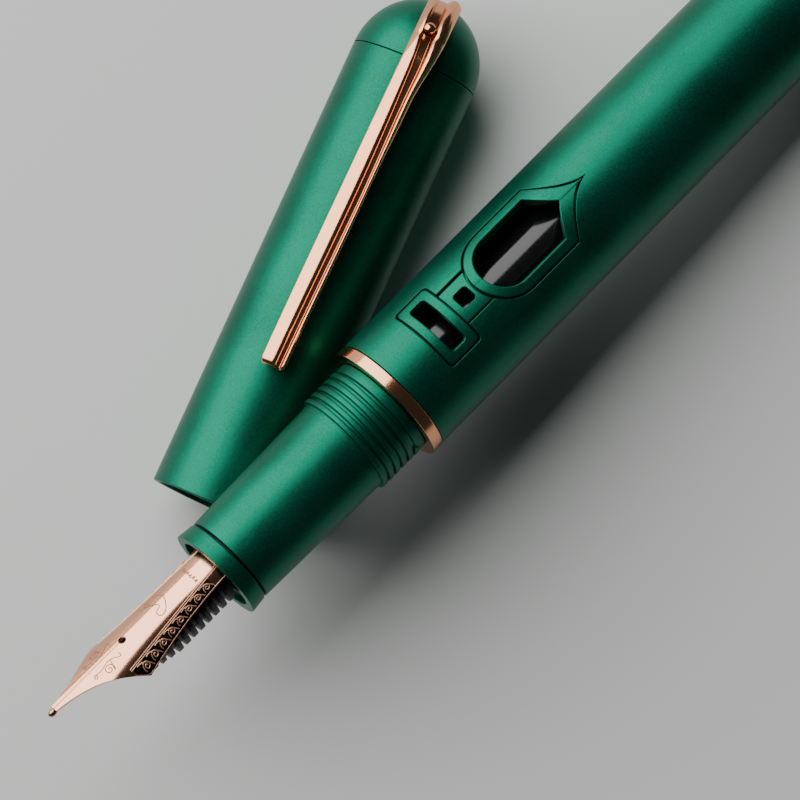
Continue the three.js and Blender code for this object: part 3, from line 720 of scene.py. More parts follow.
# %% A helper to run a tree, and the thread tree
def new_tree(name, inputs):
    """An empty Geometry Nodes tree with named inputs and a material input."""
    tree = bpy.data.node_groups.new(name, "GeometryNodeTree")
    kinds = {float: "NodeSocketFloat", int: "NodeSocketInt"}
    for label, value in inputs.items():
        socket = tree.interface.new_socket(label, in_out="INPUT", socket_type=kinds[type(value)])
        socket.default_value = value
    tree.interface.new_socket("Finish", in_out="INPUT", socket_type="NodeSocketMaterial")
    tree.interface.new_socket("Geometry", in_out="OUTPUT", socket_type="NodeSocketGeometry")
    return tree, tree.nodes.new("NodeGroupInput").outputs


def close_tree(tree, geometry, given):
    """Ends a tree: instances become real, the finish is set, and faces are shaded smooth."""
    real = add(tree, "GeometryNodeRealizeInstances", {"Geometry": geometry})
    smooth = add(tree, "GeometryNodeSetShadeSmooth", {"Geometry": real.outputs["Geometry"]})
    surfaced = add(
        tree,
        "GeometryNodeSetMaterial",
        {"Geometry": smooth.outputs["Geometry"], "Material": given["Finish"]},
    )
    add(tree, "NodeGroupOutput", {"Geometry": surfaced.outputs["Geometry"]})
    return tree


def grown(tree, surface, **sizes):
    """Runs a tree on an empty mesh and returns the plain mesh that it makes."""
    holder = bpy.data.objects.new("holder", bpy.data.meshes.new("holder"))
    scene.collection.objects.link(holder)
    modifier = holder.modifiers.new("grow", "NODES")
    modifier.node_group = tree
    wanted = {label.replace(" ", "_"): value for label, value in sizes.items()} | {"Finish": surface}
    for item in tree.interface.items_tree:
        if item.item_type == "SOCKET" and item.in_out == "INPUT" and item.name.replace(" ", "_") in wanted:
            modifier[item.identifier] = wanted[item.name.replace(" ", "_")]
    mesh = bpy.data.meshes.new_from_object(holder.evaluated_get(bpy.context.evaluated_depsgraph_get()))
    holder.modifiers.clear()
    bpy.data.objects.remove(holder)
    mesh.set_sharp_from_angle(angle=math.radians(38))
    return mesh


def math_node(tree, operation, first, second):
    """The result of one sum, made with the node helper."""
    return add(tree, "ShaderNodeMath", {0: first, 1: second}, operation=operation).outputs[0]


def vector_node(tree, **parts):
    """A vector put together from values or sockets named X, Y and Z."""
    return add(tree, "ShaderNodeCombineXYZ", parts).outputs["Vector"]


thread_tree, given = new_tree(
    "thread",
    {"Radius": 5.0, "Turns": 5.0, "Pitch": 0.9, "Ridge Width": 0.5, "Ridge Height": 0.4, "Start": 0.0},
)
spiral = add(
    thread_tree,
    "GeometryNodeCurveSpiral",
    {
        "Resolution": 96,
        "Rotations": given["Turns"],
        "Start Radius": given["Radius"],
        "End Radius": given["Radius"],
        "Height": math_node(thread_tree, "MULTIPLY", given["Turns"], given["Pitch"]),
    },
)
standing = add(thread_tree, "GeometryNodeSetCurveNormal", {"Curve": spiral.outputs["Curve"]}, mode="Z_UP")
factor = add(thread_tree, "GeometryNodeSplineParameter").outputs["Factor"]
from_end = math_node(thread_tree, "MINIMUM", factor, math_node(thread_tree, "SUBTRACT", 1.0, factor))
run_out = math_node(thread_tree, "MINIMUM", math_node(thread_tree, "MULTIPLY", from_end, 14.0), 1.0)
tapered = add(
    thread_tree,
    "GeometryNodeSetCurveRadius",
    {"Curve": standing.outputs["Curve"], "Radius": math_node(thread_tree, "MAXIMUM", run_out, 0.02)},
)
ridge = add(
    thread_tree,
    "GeometryNodeCurvePrimitiveQuadrilateral",
    {"Width": given["Ridge Height"], "Height": given["Ridge Width"]},
)
ridge_round = math_node(thread_tree, "MULTIPLY", given["Ridge Width"], 0.24)
eased_ridge = add(
    thread_tree,
    "GeometryNodeFilletCurve",
    {"Curve": ridge.outputs["Curve"], "Count": 4, "Radius": ridge_round, "Limit Radius": True},
    mode="POLY",
)
swept = add(
    thread_tree,
    "GeometryNodeCurveToMesh",
    {"Curve": tapered.outputs["Curve"], "Profile Curve": eased_ridge.outputs["Curve"], "Fill Caps": True},
)
along_axis = add(
    thread_tree,
    "GeometryNodeTransform",
    {"Geometry": swept.outputs["Mesh"], "Rotation": (0, math.pi / 2, 0)},
)
shifted = add(
    thread_tree,
    "GeometryNodeTransform",
    {"Geometry": along_axis.outputs["Geometry"], "Translation": vector_node(thread_tree, X=given["Start"])},
)
close_tree(thread_tree, shifted.outputs["Geometry"], given)

cap_thread = grown(
    thread_tree,
    anodised_green,
    Radius=grip.radius - 0.3,
    Turns=thread_turns + 0.3,
    Pitch=thread_pitch,
    Ridge_Width=0.6,
    Ridge_Height=0.6,
    Start=thread_front - 0.15,
)
settle(cap_thread, pen_bench, "grip_section", anodised_green, "grip_thread")

# %% [markdown]
# ## Seal and nib housing
# Between section and barrel sits a rubber ring, round in section. The housing that holds nib and feed is
# a black moulded sleeve whose rim shows as a dark ring round the nib's base; its rear end is the nipple
# for the ink tube.

# %% Seal and housing
def rubber_ring(name, node):
    """A ring of rubber, round in section, of the size that the gauge gives."""
    size = gauge(node)
    middle = (size.front + size.rear) / 2, (size.bore + size.radius) / 2
    half = (size.rear - size.front) / 2, (size.radius - size.bore) / 2
    settle(turned(name, arc(middle, half, 0, 345, 23), 96, 0.01), pen_bench, node, nitrile)


rubber_ring("seal", "section_o_ring")

housing = gauge("nib_housing", nib_bench)
nib_fit, nib_radius = 0.15, 3.05
nipple_radius, nipple_length, housing_wall = 2.4, 6.0, 0.7
housing_end = housing.rear - nipple_length
housing_outline = [
    (housing.front, nib_radius + nib_fit),
    (housing.front, housing.radius),
    (housing_end, housing.radius),
    (housing_end, nipple_radius),
    (housing.rear, nipple_radius - 0.15),
    (housing.rear, housing.bore),
    (housing_end - housing_wall, housing.bore),
    (housing_end - housing_wall, nib_radius + nib_fit),
]
settle(turned("housing", housing_outline, 128, 0.12), pen_bench, "nib_housing", moulded_black)

# %% [markdown]
# ## Nib
# A nib is stamped from sheet, bent round a mandrel and slit. So is this one: its flat outline is drawn by
# how far each point lies behind the tip and how far round the surface from the slit, the breather hole
# and the slit are cut, and a rule bends the sheet: almost flat at the tip, and round like the feed at the
# base.

# %% Nib sheet
nib = gauge("nib", nib_bench)
nib_front = gauge("nib_tip", nib_bench).front
nib_exposed, nib_shoulder, nib_length = 21.5, 9.7, nib.rear - nib_front
blade_start = 0.82
tip_half, shoulder_half, base_half = 0.3, 4.75, 3.0
nib_thickness, slit_half, breather_radius, breather_place = 0.25, 0.028, 0.42, 10.2


def round_nib(back, around, height):
    """The rule that bends the flat nib; height is measured from its outer surface."""
    radius = nib_radius + 4.05 * max(1 - back / 18, 0) ** 2
    turn = around / radius
    reach = radius + height
    return nib_front + back, reach * math.sin(turn), nib_radius - radius + reach * math.cos(turn)


def nib_half(back):
    """Half the nib's width round its surface."""
    if back < nib_shoulder:
        swell = shoulder_half - tip_half - 0.12 * nib_shoulder
        return tip_half + 0.12 * back + swell * (back / nib_shoulder) ** 2.6
    along = min((back - nib_shoulder) / (nib_exposed - nib_shoulder), 1)
    return base_half + (shoulder_half - base_half) * (1 - along) ** 1.6


def bent_nib(mesh):
    """Slices a flat mesh both ways and bends it onto the nib."""
    mesh = sliced(mesh, Vector((1, 0, 0)), 0.5)
    return bent(sliced(mesh, Vector((0, 1, 0)), 0.22), round_nib)


stations = [blade_start + (nib_shoulder - blade_start) * i / 32 for i in range(33)]
stations += [nib_shoulder + (nib_exposed - nib_shoulder) * i / 24 for i in range(1, 25)] + [nib_length]
right_side = [(back, nib_half(back)) for back in stations]
slit_open = math.degrees(math.asin(slit_half / breather_radius))
hole = arc((breather_place, 0), (breather_radius, breather_radius), 180 - slit_open, slit_open - 180, 32)
nib_outline = [(blade_start, slit_half)] + right_side
nib_outline += [(x, -y) for x, y in reversed(right_side)] + [(blade_start, -slit_half)]
nib_outline += list(reversed(hole))
nib_mesh = bent_nib(plate([nib_outline], -nib_thickness, 0, 0.022))
settle(nib_mesh, nib_bench, "nib", rose_gold_nib)

# %% [markdown]
# ## Writing tip
# A bead of hard alloy is welded to the tip, ground round and slit with the nib. Two halves of one turned
# bead leave the slit between them.

# %% Writing tip
bead_half_length, bead_radius, bead_slit = 0.52, 0.38, 0.02
bead_middle = nib_front + bead_half_length
bead_outline = arc((bead_middle, 0), (bead_half_length, bead_radius), 0, 180, 20)
bead_outline[0], bead_outline[-1] = (bead_middle + bead_half_length, 0), (bead_middle - bead_half_length, 0)


def bead_side(side):
    """One half of the bead, cut flat where the slit runs."""
    sculpt = bmesh.new()
    sculpt.from_mesh(turned("bead", bead_outline, 48, 0.01))
    everything = sculpt.verts[:] + sculpt.edges[:] + sculpt.faces[:]
    cut = bmesh.ops.bisect_plane(
        sculpt, geom=everything, plane_co=(0, side * bead_slit, 0), plane_no=(0, -side, 0), clear_outer=True
    )
    rim = [item for item in cut["geom_cut"] if isinstance(item, bmesh.types.BMEdge)]
    bmesh.ops.holes_fill(sculpt, edges=rim)
    return as_mesh(sculpt, "bead_side")


bead = joined([bead_side(1), bead_side(-1)])
bead.transform(Matrix.Translation((0, 0, nib_radius - bead_radius + 0.08)))
settle(bead, nib_bench, "nib_tip", tip_alloy)

# %% [markdown]
# ## Engraving on the nib
# The flanks carry a black enamelled band with gold scrollwork, edged by fine lines, and the top has a few
# flourishes. They are drawn on the same flat sheet as the nib and bent by the same rule, so they lie on
# it exactly. Fine wire, pressed flat, stands for the metal between the cuts; the top's flourishes are
# wire in a darker finish, whose dark colour is painted shade in the cuts.

# %% Band borders and flourishes
border_front, border_start, border_slope, border_bow = 8.3, 3.09, 0.125, 0.0013
border_inset = 0.13


def band_upper(back):
    """Where the band's upper border runs, measured round from the slit."""
    along = back - border_front
    return border_start - border_slope * along + border_bow * along**2


def band_lower(back):
    """Where the band's lower border runs: just inside the nib's edge."""
    return nib_half(back) - border_inset


def wire(paths, radius, smooth=True):
    """Fine flat wire along paths on the flat nib."""
    curve = bpy.data.curves.new("wire", "CURVE")
    curve.dimensions = "3D"
    curve.bevel_depth = radius
    curve.bevel_resolution = 1
    curve.use_fill_caps = True
    for path in paths:
        spline = curve.splines.new("NURBS" if smooth else "POLY")
        spline.points.add(len(path) - 1)
        for point, (x, y) in zip(spline.points, path):
            point.co = (x, y, 0, 1)
        if smooth:
            spline.order_u = 3
            spline.use_endpoint_u = True
            spline.resolution_u = 5
    thread = bpy.data.objects.new("wire", curve)
    scene.collection.objects.link(thread)
    mesh = bpy.data.meshes.new_from_object(thread.evaluated_get(bpy.context.evaluated_depsgraph_get()))
    bpy.data.objects.remove(thread)
    bpy.data.curves.remove(curve)
    mesh.transform(Matrix.Diagonal((1, 1, 0.5, 1)))
    return mesh


def both_flanks(mesh):
    """A mesh drawn on one flank of the flat nib, with its mirror image on the other."""
    other = mesh.copy()
    other.transform(Matrix.Diagonal((1, -1, 1, 1)))
    other.flip_normals()
    return joined([bent(mesh, round_nib), bent(other, round_nib)])


band_front, band_rear = 8.75, 20.2
band_steps = [band_front + (band_rear - band_front) * i / 30 for i in range(31)]
band_rim = [(back, band_upper(back)) for back in band_steps]
open_steps = [back for back in reversed(band_steps) if band_lower(back) > band_upper(back) + 0.05]
band_rim += [(back, band_lower(back)) for back in open_steps]
band = sliced(sliced(plate([band_rim], -0.02, 0.012, 0.004), Vector((1, 0, 0)), 0.5), Vector((0, 1, 0)), 0.25)
settle(both_flanks(band), nib_bench, "feed", enamel, "nib_enamel_band")

line_front, line_run_in = 8.55, 0.4
line_steps = [line_front + (nib_exposed + line_run_in - line_front) * i / 30 for i in range(31)]
upper_line = [(back, band_upper(back)) for back in line_steps]
second_line = [(back, band_upper(back) - 0.2) for back in line_steps]
lower_line = [(back, band_lower(back) + 0.02) for back in line_steps]
borders = wire([upper_line, second_line, lower_line], 0.05)
settle(both_flanks(borders), nib_bench, "nib", scroll_gold, "nib_border_lines")


def curl(middle, reach, start, turns, steps=22):
    """A spiral that winds in to its middle, from a start angle in degrees."""
    points = []
    for i in range(steps + 1):
        share = i / steps
        angle = math.radians(start + 360 * turns * share)
        radius = reach * (1 - 0.82 * share)
        points.append((middle[0] + radius * math.cos(angle), middle[1] + radius * math.sin(angle)))
    return points


tine_stem = [(9.0, 0.75), (9.15, 1.05), (8.85, 1.2), (8.55, 0.9), (8.0, 0.6)]
tine_stem += [(7.4, 0.62), (6.9, 0.8), (6.2, 0.85), (5.7, 0.7)]
tine_curl = [(8.0, 0.6)] + curl((7.25, 1.35), 0.6, 60, -1.5)
tine_loop = curl((5.75, 0.95), 0.26, -90, 1.2)
swirl = [(13.4, 1.25), (13.9, 1.0), (14.25, 0.65), (14.6, 0.8), (14.55, 1.2), (14.1, 1.3)]
swirl += [(14.05, 0.95), (14.8, 0.3)]
swirl += [(15.2, -0.1), (15.0, -0.45), (14.6, -0.45), (14.3, -0.8), (14.5, -1.25), (15.1, -1.2), (15.6, -0.8)]
swirl += [(16.15, 0.1), (15.9, 0.95), (15.2, 1.35), (14.6, 1.3)]
row = []
for i in range(6):
    row += curl((19.35 + 0.08 * (i % 2), -1.25 + 0.42 * i), 0.2, -150, -0.9, 7)
left_paths = [tine_stem, tine_curl, tine_loop]
right_paths = [[(x, -y) for x, y in path] for path in left_paths]
# The flourishes are the cuts themselves, drawn as darkened wire: the dark colour is painted shade of the grooves.
lines = wire(left_paths + right_paths + [swirl, row], 0.05)
settle(bent(lines, round_nib), nib_bench, "nib", engraved_cut_painted_shade, "nib_engraving")

# %% [markdown]
# ## Scrollwork as Geometry Nodes
# One scroll repeats all along the band: a spiral on a stem, with a small leaf. The tree draws it once as
# curves, gives them thickness, and sets a copy at each point of a line along the band, so the number of
# scrolls and their size are plain inputs. The row is drawn flat and then bent round both flanks.

# %% Scroll tree
scroll_tree, given = new_tree(
    "scrollwork", {"Pitch": 1.3, "Count": 8, "Scroll Radius": 0.36, "Wire Radius": 0.06, "Height": 0.9}
)
coil = add(
    scroll_tree,
    "GeometryNodeCurveSpiral",
    {
        "Resolution": 20,
        "Rotations": 1.35,
        "Start Radius": 0.07,
        "End Radius": given["Scroll Radius"],
        "Height": 0.0,
    },
)
half_height = math_node(scroll_tree, "MULTIPLY", given["Height"], 0.5)
low_point = vector_node(
    scroll_tree,
    X=math_node(scroll_tree, "MULTIPLY", given["Pitch"], -0.62),
    Y=math_node(scroll_tree, "MULTIPLY", half_height, -1.05),
)
half_pitch = math_node(scroll_tree, "MULTIPLY", given["Pitch"], 0.5)
high_point = vector_node(scroll_tree, X=half_pitch, Y=half_height)
stem = add(
    scroll_tree,
    "GeometryNodeCurveQuadraticBezier",
    {"Resolution": 12, "Start": low_point, "Middle": (0.1, -0.75, 0.0), "End": high_point},
)
leaf = add(
    scroll_tree,
    "GeometryNodeCurveQuadraticBezier",
    {"Resolution": 8, "Start": (-0.42, 0.36, 0.0), "Middle": (-0.55, 0.05, 0.0), "End": (-0.3, -0.3, 0.0)},
)
drawn = add(scroll_tree, "GeometryNodeJoinGeometry")
for piece in (coil, stem, leaf):
    scroll_tree.links.new(piece.outputs["Curve"], drawn.inputs["Geometry"])
section_ring = add(
    scroll_tree, "GeometryNodeCurvePrimitiveCircle", {"Resolution": 6, "Radius": given["Wire Radius"]}
)
scroll_wire = add(
    scroll_tree,
    "GeometryNodeCurveToMesh",
    {"Curve": drawn.outputs["Geometry"], "Profile Curve": section_ring.outputs["Curve"], "Fill Caps": True},
)
step = vector_node(scroll_tree, X=given["Pitch"])
row_of_points = add(
    scroll_tree, "GeometryNodeMeshLine", {"Count": given["Count"], "Offset": step}, mode="OFFSET"
)
placed = add(
    scroll_tree,
    "GeometryNodeInstanceOnPoints",
    {"Points": row_of_points.outputs["Mesh"], "Instance": scroll_wire.outputs["Mesh"]},
)
close_tree(scroll_tree, placed.outputs["Instances"], given)

scroll_front, drawn_height, wire_squash, wire_lift = 10.1, 1.45, 0.5, 0.012
scrolls = grown(
    scroll_tree, scroll_gold, Pitch=1.36, Count=8, Scroll_Radius=0.42, Wire_Radius=0.055, Height=1.0
)
for vertex in scrolls.vertices:
    back = scroll_front + vertex.co.x
    middle = (band_upper(back) + band_lower(back)) / 2
    room = (band_lower(back) - band_upper(back)) / drawn_height
    vertex.co = (back, middle + vertex.co.y * room, vertex.co.z * wire_squash + wire_lift)
settle(both_flanks(scrolls), nib_bench, "nib", scroll_gold, "nib_scrollwork")

# %% [markdown]
# ## Feed
# The feed is moulded in black plastic and lies against the nib's underside. Its comb of thin fins holds
# spare ink. The fins repeat at an even pitch, and the first ones grow to full depth, so a tree sets them
# along the axis; the body with its tapered nose is turned.

# %% Feed
feed = gauge("feed", nib_bench)
fin_pitch, fin_thickness, fin_count = 1.0, 0.5, 11
comb_front = nib_front + 10.2
feed_root, feed_radius, tail_radius = 2.25, nib_radius - 0.15, 1.0
shank_front = housing.front + face_gap
feed_rear = feed.rear - nipple_length
feed_outline = [
    (feed.front, 0),
    (feed.front, 0.7),
    (comb_front, feed_root - 0.15),
    (comb_front + 3, feed_root),
    (shank_front, feed_root),
    (shank_front, nib_radius - nib_thickness - 0.1),
    (feed_rear, nib_radius - nib_thickness - 0.1),
    (feed_rear, tail_radius),
    (feed.rear, tail_radius),
    (feed.rear, 0),
]
settle(turned("feed", feed_outline, 96, 0.15), nib_bench, "feed", moulded_black)

fin_tree, given = new_tree(
    "feed_fins",
    {"Radius": 2.9, "Thickness": 0.5, "Pitch": 1.0, "Count": 11, "First Size": 0.82, "Front": 0.0},
)
half_disc = add(
    fin_tree,
    "GeometryNodeCurveArc",
    {
        "Resolution": 40,
        "Radius": given["Radius"],
        "Start Angle": math.radians(172),
        "Sweep Angle": math.radians(196),
        "Connect Center": True,
    },
    mode="RADIUS",
)
sheet_fin = add(fin_tree, "GeometryNodeFillCurve", {"Curve": half_disc.outputs["Curve"]}, mode="NGONS")
thick_fin = add(
    fin_tree,
    "GeometryNodeExtrudeMesh",
    {"Mesh": sheet_fin.outputs["Mesh"], "Offset Scale": given["Thickness"], "Individual": False},
    mode="FACES",
)
both_faces = add(fin_tree, "GeometryNodeJoinGeometry")
turned_face = add(fin_tree, "GeometryNodeFlipFaces", {"Mesh": sheet_fin.outputs["Mesh"]})
fin_tree.links.new(thick_fin.outputs["Mesh"], both_faces.inputs["Geometry"])
fin_tree.links.new(turned_face.outputs["Mesh"], both_faces.inputs["Geometry"])
closed_fin = add(
    fin_tree,
    "GeometryNodeMergeByDistance",
    {"Geometry": both_faces.outputs["Geometry"], "Distance": 0.001},
)
upright_fin = add(
    fin_tree,
    "GeometryNodeTransform",
    {"Geometry": closed_fin.outputs["Geometry"], "Rotation": (math.pi / 2, 0, math.pi / 2)},
)
fin_step = vector_node(fin_tree, X=given["Pitch"])
fin_start = vector_node(fin_tree, X=given["Front"])
fin_points = add(
    fin_tree,
    "GeometryNodeMeshLine",
    {"Count": given["Count"], "Start Location": fin_start, "Offset": fin_step},
    mode="OFFSET",
)
fin_index = add(fin_tree, "GeometryNodeInputIndex").outputs["Index"]
fin_size = add(
    fin_tree,
    "ShaderNodeMapRange",
    {"Value": fin_index, "From Min": 0.0, "From Max": 3.0, "To Min": given["First Size"], "To Max": 1.0},
)
fin_scale = vector_node(fin_tree, X=1.0, Y=fin_size.outputs["Result"], Z=fin_size.outputs["Result"])
fins = add(
    fin_tree,
    "GeometryNodeInstanceOnPoints",
    {"Points": fin_points.outputs["Mesh"], "Instance": upright_fin.outputs["Geometry"], "Scale": fin_scale},
)
close_tree(fin_tree, fins.outputs["Instances"], given)
fin_mesh = grown(
    fin_tree,
    moulded_black,
    Radius=feed_radius,
    Thickness=fin_thickness,
    Pitch=fin_pitch,
    Count=fin_count,
    Front=comb_front + fin_pitch - fin_thickness,
)
settle(fin_mesh, nib_bench, "feed", moulded_black, "feed_fins")

# %% [markdown]
# ## Converter
# The ink tube can be seen through the windows. Its mouth grips the nipple, a plated collar closes its
# rear, and turning the knob drives a piston along a threaded spindle. Each is turned from the gauge's
# sizes; the knob is ribbed for the fingers, which is again a job for a tree.

# %% Converter pieces
mouth = gauge("converter_mouth")
mouth_outline = [
    (mouth.front, mouth.bore),
    (mouth.front, mouth.radius),
    (mouth.rear - 1.6, mouth.radius),
    (mouth.rear - 1.5, mouth.radius - 0.15),
    (mouth.rear - 1.1, mouth.radius - 0.15),
    (mouth.rear - 1.0, mouth.radius),
    (mouth.rear, mouth.radius),
    (mouth.rear, mouth.bore),
]
settle(turned("mouth", mouth_outline, 128, 0.12), pen_bench, "converter_mouth", ink_tube)
settle(tube("ink_tube", gauge("converter_tube"), 192, 0.2), pen_bench, "converter_tube", ink_tube)
collar = tube("rear_collar", gauge("converter_rear_collar"), 160, 0.15)
settle(collar, pen_bench, "converter_rear_collar", rose_gold)

knob = gauge("converter_knob")
knob_bore, rib_height = 2.05, 0.14
knob_outline = [
    (knob.front, knob_bore),
    (knob.front, knob.radius),
    (knob.front + 1.2, knob.radius),
    (knob.front + 1.4, knob.radius - rib_height),
    (knob.rear - 1.6, knob.radius - rib_height),
    (knob.rear - 1.4, knob.radius),
    (knob.rear - 0.5, knob.radius),
    (knob.rear, knob.radius - 0.5),
    (knob.rear, 0),
    (knob.rear - 1.5, 0),
    (knob.rear - 1.5, knob_bore),
]
settle(turned("knob", knob_outline, 128, 0.15), pen_bench, "converter_knob", moulded_black)

rib_tree, given = new_tree(
    "knob_ribs", {"Radius": 3.5, "Length": 17.0, "Width": 0.32, "Count": 36, "Front": 0.0}
)
rib_stop = math_node(rib_tree, "ADD", given["Front"], given["Length"])
rib_line = add(
    rib_tree,
    "GeometryNodeCurvePrimitiveLine",
    {"Start": vector_node(rib_tree, X=given["Front"]), "End": vector_node(rib_tree, X=rib_stop)},
    mode="POINTS",
)
rib_section = add(
    rib_tree,
    "GeometryNodeCurvePrimitiveCircle",
    {"Resolution": 10, "Radius": math_node(rib_tree, "MULTIPLY", given["Width"], 0.5)},
)
rib = add(
    rib_tree,
    "GeometryNodeCurveToMesh",
    {"Curve": rib_line.outputs["Curve"], "Profile Curve": rib_section.outputs["Curve"], "Fill Caps": True},
)
rib_points = add(
    rib_tree, "GeometryNodeMeshLine", {"Count": given["Count"], "Offset": (0.0, 0.0, 0.0)}, mode="OFFSET"
)
rib_index = add(rib_tree, "GeometryNodeInputIndex").outputs["Index"]
rib_share = math_node(rib_tree, "DIVIDE", rib_index, given["Count"])
rib_turn = math_node(rib_tree, "MULTIPLY", rib_share, 2 * math.pi)
rib_spot = vector_node(
    rib_tree,
    Y=math_node(rib_tree, "MULTIPLY", given["Radius"], math_node(rib_tree, "SINE", rib_turn, 0.0)),
    Z=math_node(rib_tree, "MULTIPLY", given["Radius"], math_node(rib_tree, "COSINE", rib_turn, 0.0)),
)
rib_ring = add(
    rib_tree, "GeometryNodeSetPosition", {"Geometry": rib_points.outputs["Mesh"], "Position": rib_spot}
)
ribs = add(
    rib_tree,
    "GeometryNodeInstanceOnPoints",
    {"Points": rib_ring.outputs["Geometry"], "Instance": rib.outputs["Mesh"]},
)
close_tree(rib_tree, ribs.outputs["Instances"], given)
knob_ribs = grown(
    rib_tree,
    moulded_black,
    Radius=knob.radius - rib_height - 0.02,
    Length=knob.rear - knob.front - 3.2,
    Width=0.3,
    Count=36,
    Front=knob.front + 1.5,
)
settle(knob_ribs, pen_bench, "converter_knob", moulded_black, "knob_ribs")

spindle = gauge("converter_spindle")
spindle_core, spindle_pitch = 0.6, 0.8
spindle_outline = [
    (spindle.front, 0),
    (spindle.front, spindle_core),
    (spindle.rear, spindle_core),
    (spindle.rear, 0),
]
settle(turned("spindle", spindle_outline, 64, 0.1), pen_bench, "converter_spindle", turned_steel)
spindle_thread = grown(
    thread_tree,
    turned_steel,
    Radius=spindle_core,
    Turns=(spindle.rear - spindle.front - 1.0) / spindle_pitch,
    Pitch=spindle_pitch,
    Ridge_Width=0.35,
    Ridge_Height=0.24,
    Start=spindle.front + 0.5,
)
settle(spindle_thread, pen_bench, "converter_spindle", turned_steel, "spindle_thread")

piston = gauge("piston_head")
piston_seal = gauge("piston_seal")
groove = piston_seal.bore - 0.05
piston_outline = [
    (piston.front, 0),
    (piston.front, piston.radius - 0.3),
    (piston.front + 0.3, piston.radius),
    (piston_seal.front - 0.1, piston.radius),
    (piston_seal.front - 0.1, groove),
    (piston_seal.rear + 0.1, groove),
    (piston_seal.rear + 0.1, piston.radius),
    (piston.rear, piston.radius),
    (piston.rear, 0),
]
settle(turned("piston", piston_outline, 96, 0.08), pen_bench, "piston_head", moulded_black)
rubber_ring("piston_ring", "piston_seal")
settle(tube("piston_rod", gauge("piston_rod"), 64, 0.15), pen_bench, "piston_rod", moulded_black)

# %% [markdown]
# ## Cap
# The cap is a plain tube with a rounded lip, closed by a domed end. Inside sits the inner cap that seals
# the nib, held by a screw. The tube rests on the floor, so its radius is the height of its middle.

# %% Cap shell, dome, inner cap and screw
cap_radius = cap_middle.z / MM
dome_size = gauge("cap_dome", cap_bench)
lip = 0.16
shell_outline = [
    (shell.front, shell.bore + 0.05),
    (shell.front, cap_radius - 0.02),
    (shell.rear, cap_radius),
    (shell.rear, shell.bore),
    (shell.front + 4.0, shell.bore),
    (shell.front + 3.8, shell.bore + 0.05),
]
settle(turned("cap_shell", shell_outline, 192, lip), cap_bench, "cap_shell", anodised_green)
dome_shoulder = shell.rear + 0.05
dome_outline = [(dome_size.front, 0), (dome_size.front, shell.bore - 0.1), (dome_shoulder, shell.bore - 0.1)]
dome_outline += dome(dome_shoulder, dome_size.rear - dome_shoulder, cap_radius)
settle(turned("cap_dome", dome_outline, 192, 0.03), cap_bench, "cap_dome", anodised_green)

inner = gauge("inner_cap", cap_bench)
screw = gauge("cap_screw", cap_bench)
inner_bore, inner_end, screw_hole = inner.radius - 1.25, 1.6, 0.9
inner_outline = [
    (inner.front, inner_bore + 0.3),
    (inner.front, inner.radius - 0.2),
    (inner.front + 0.3, inner.radius),
    (inner.rear, inner.radius),
    (inner.rear, screw_hole),
    (inner.rear - inner_end, screw_hole),
    (inner.rear - inner_end, inner_bore),
    (inner.front + 0.5, inner_bore),
]
settle(turned("inner_cap", inner_outline, 128, 0.12), cap_bench, "inner_cap", moulded_black)
head_length, screw_core, drive_depth, drive_radius = 0.9, 0.8, 0.35, 0.55
screw_outline = [
    (screw.front + drive_depth, 0),
    (screw.front + drive_depth, drive_radius),
    (screw.front, drive_radius + 0.2),
    (screw.front, screw.radius),
    (screw.front + head_length, screw.radius),
    (screw.front + head_length, screw_core),
    (screw.rear, screw_core),
    (screw.rear, 0),
]
settle(turned("cap_screw", screw_outline, 64, 0.12), cap_bench, "cap_screw", turned_steel)

# %% [markdown]
# ## Clip
# The clip is pressed from one strip: a broad rounded lobe and a narrow one with a valley between them.
# Towards the top it widens, the valley opens round the rivet, and the strip wraps down over the dome. A
# cross-section carried along the strip's side view gives all of this: at each station the section has its
# own width, valley and height. Loft tools in modelling programs do the same; here it is a short loop.

# %% Clip
clip_low, clip_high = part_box("clip")
clip_front = (clip_low.x - shell_low.x) / MM
clip_top = (clip_high.z - cap_middle.z) / MM
clip_thickness, clip_wrap, seat_gap, settle_angle = 1.05, 62, 0.3, 18
clip_rise = clip_top - clip_thickness - cap_radius
shoulder = shell.rear
dome_length = dome_size.rear - dome_shoulder


def strip_place(distance):
    """Side view of the strip's underside at a distance from its free end: place, and the way it faces."""
    straight = shoulder - clip_front
    if distance <= straight:
        return Vector((clip_front + distance, 0, cap_radius + clip_rise)), Vector((0, 0, 1))
    angle = (distance - straight) / (math.pi / 2 * (cap_radius + 0.8)) * 90
    turn = math.radians(angle)
    out = clip_rise + (seat_gap - clip_rise) * min(angle / settle_angle, 1)
    place = Vector((shoulder + (dome_length + out) * math.sin(turn), 0, (cap_radius + out) * math.cos(turn)))
    facing = Vector((math.sin(turn) * cap_radius / dome_length, 0, math.cos(turn))).normalized()
    return place, facing


def blend(stops, share):
    """A value between stops of (share, value), eased from one to the next."""
    for (low, first), (high, last) in zip(stops, stops[1:]):
        if share <= high:
            part = max(share - low, 0) / (high - low)
            return first + (last - first) * part * part * (3 - 2 * part)
    return stops[-1][1]


# Stops along the strip: a share of its straight length, and a size in millimetres there.
left_widths = [(0, 1.58), (1.1, 1.36)]
right_widths = [(0, 1.1), (0.6, 1.25), (0.86, 1.4), (1.08, 2.05)]
valley_places = [(0, -0.25), (0.6, -0.5), (0.95, -0.35), (1.12, -0.02)]
valley_gaps = [(0, 0.16), (0.8, 0.2), (1.1, 0.4)]
edge_height, crown_height, tip_round, press_reach = 0.42, 0.58, 0.9, 1.6


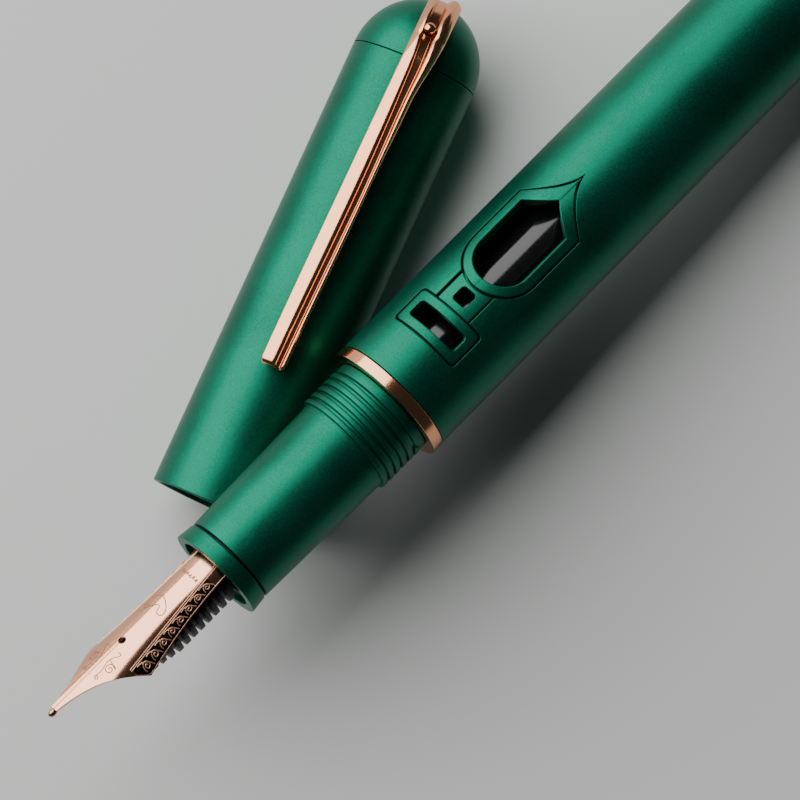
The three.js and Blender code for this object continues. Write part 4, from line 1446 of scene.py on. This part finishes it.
def strip_section(distance):
    """Points across the strip: (sideways, height), from the right edge over the top and back underneath."""
    share = distance / (shoulder - clip_front)
    tip = math.sqrt(1 - (1 - min(distance / tip_round, 1)) ** 2)
    left = blend(left_widths, share) * (0.75 + 0.25 * tip)
    right = blend(right_widths, share) * (0.75 + 0.25 * tip)
    valley = blend(valley_places, share)
    gap = blend(valley_gaps, share)
    top = clip_thickness * (0.55 + 0.45 * tip)
    points = []
    for low, high, lean in ((-right, valley - gap, 1.0), (valley + gap, left, 0.5)):
        for i in range(21):
            part = (1 - math.cos(math.pi * i / 20)) / 2
            crown = max(math.sin(math.pi * part**lean), 0) ** 0.8
            points.append((low + (high - low) * part, top * (edge_height + crown_height * crown)))
    press = 0.6 * max(1 - abs(distance - press_reach) / press_reach, 0) ** 1.5
    return points + [(left * 0.9, 0.02), (left * 0.5, -press), (-right * 0.5, -press), (-right * 0.9, 0.02)]


def clip_mesh():
    """The strip, as sections set along its side view and joined."""
    straight = shoulder - clip_front
    total = straight + math.pi / 2 * (cap_radius + 0.8) * clip_wrap / 90
    distances = [0.02 + 1.2 * i / 12 for i in range(12)]
    distances += [1.25 + (straight - 1.25) * i / 60 for i in range(60)]
    distances += [straight + (total - straight) * i / 40 for i in range(41)]
    sculpt = bmesh.new()
    loops = []
    for distance in distances:
        place, facing = strip_place(distance)
        across_strip = strip_section(distance)
        points = [place + Vector((0, across, 0)) + facing * height for across, height in across_strip]
        loops.append([sculpt.verts.new(point) for point in points])
    count = len(loops[0])
    for loop, following in zip(loops, loops[1:]):
        for i in range(count):
            sculpt.faces.new((loop[i], loop[(i + 1) % count], following[(i + 1) % count], following[i]))
    sculpt.faces.new(loops[0])
    sculpt.faces.new(loops[-1])
    return as_mesh(sculpt, "clip")


settle(clip_mesh(), cap_bench, "clip", rose_gold)

# %% [markdown]
# ## Rivet
# One rivet holds the clip to the dome. Its polished round head sits at the valley's widest place and
# shows as a bright dot.

# %% Rivet
rivet_angle = math.radians(24)
rivet_seat = seat_gap + clip_thickness
head_height, head_radius, shank_radius, rivet_depth = 0.42, 0.6, 0.35, 2.4
head_foot = rivet_seat - 0.5
rivet_outline = [(-rivet_depth, 0), (-rivet_depth, shank_radius), (head_foot, shank_radius)]
rivet_outline += [(head_foot, head_radius)]
rivet_outline += dome(rivet_seat - 0.15, head_height, head_radius, 16)
rivet = turned("rivet", rivet_outline, 64, 0.03)
rivet_along = dome_shoulder + dome_length * math.sin(rivet_angle)
rivet_foot = Vector((rivet_along, 0, cap_radius * math.cos(rivet_angle)))
rivet.transform(Matrix.Translation(rivet_foot) @ Matrix.Rotation(-(math.pi / 2 - rivet_angle), 4, "Y"))
settle(rivet, cap_bench, "clip_rivet", rose_gold)

# %% [markdown]
# ## Sizes
# The looks must not change the object's size, so how much this box grows over the CAD model's box is
# printed.

# %% Print how much the size grows
shown_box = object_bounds()
growth = (shown_box[1] - shown_box[0]) - (cad_box[1] - cad_box[0])
print("size grows by", [round(side * 1000, 2) for side in growth], "mm")
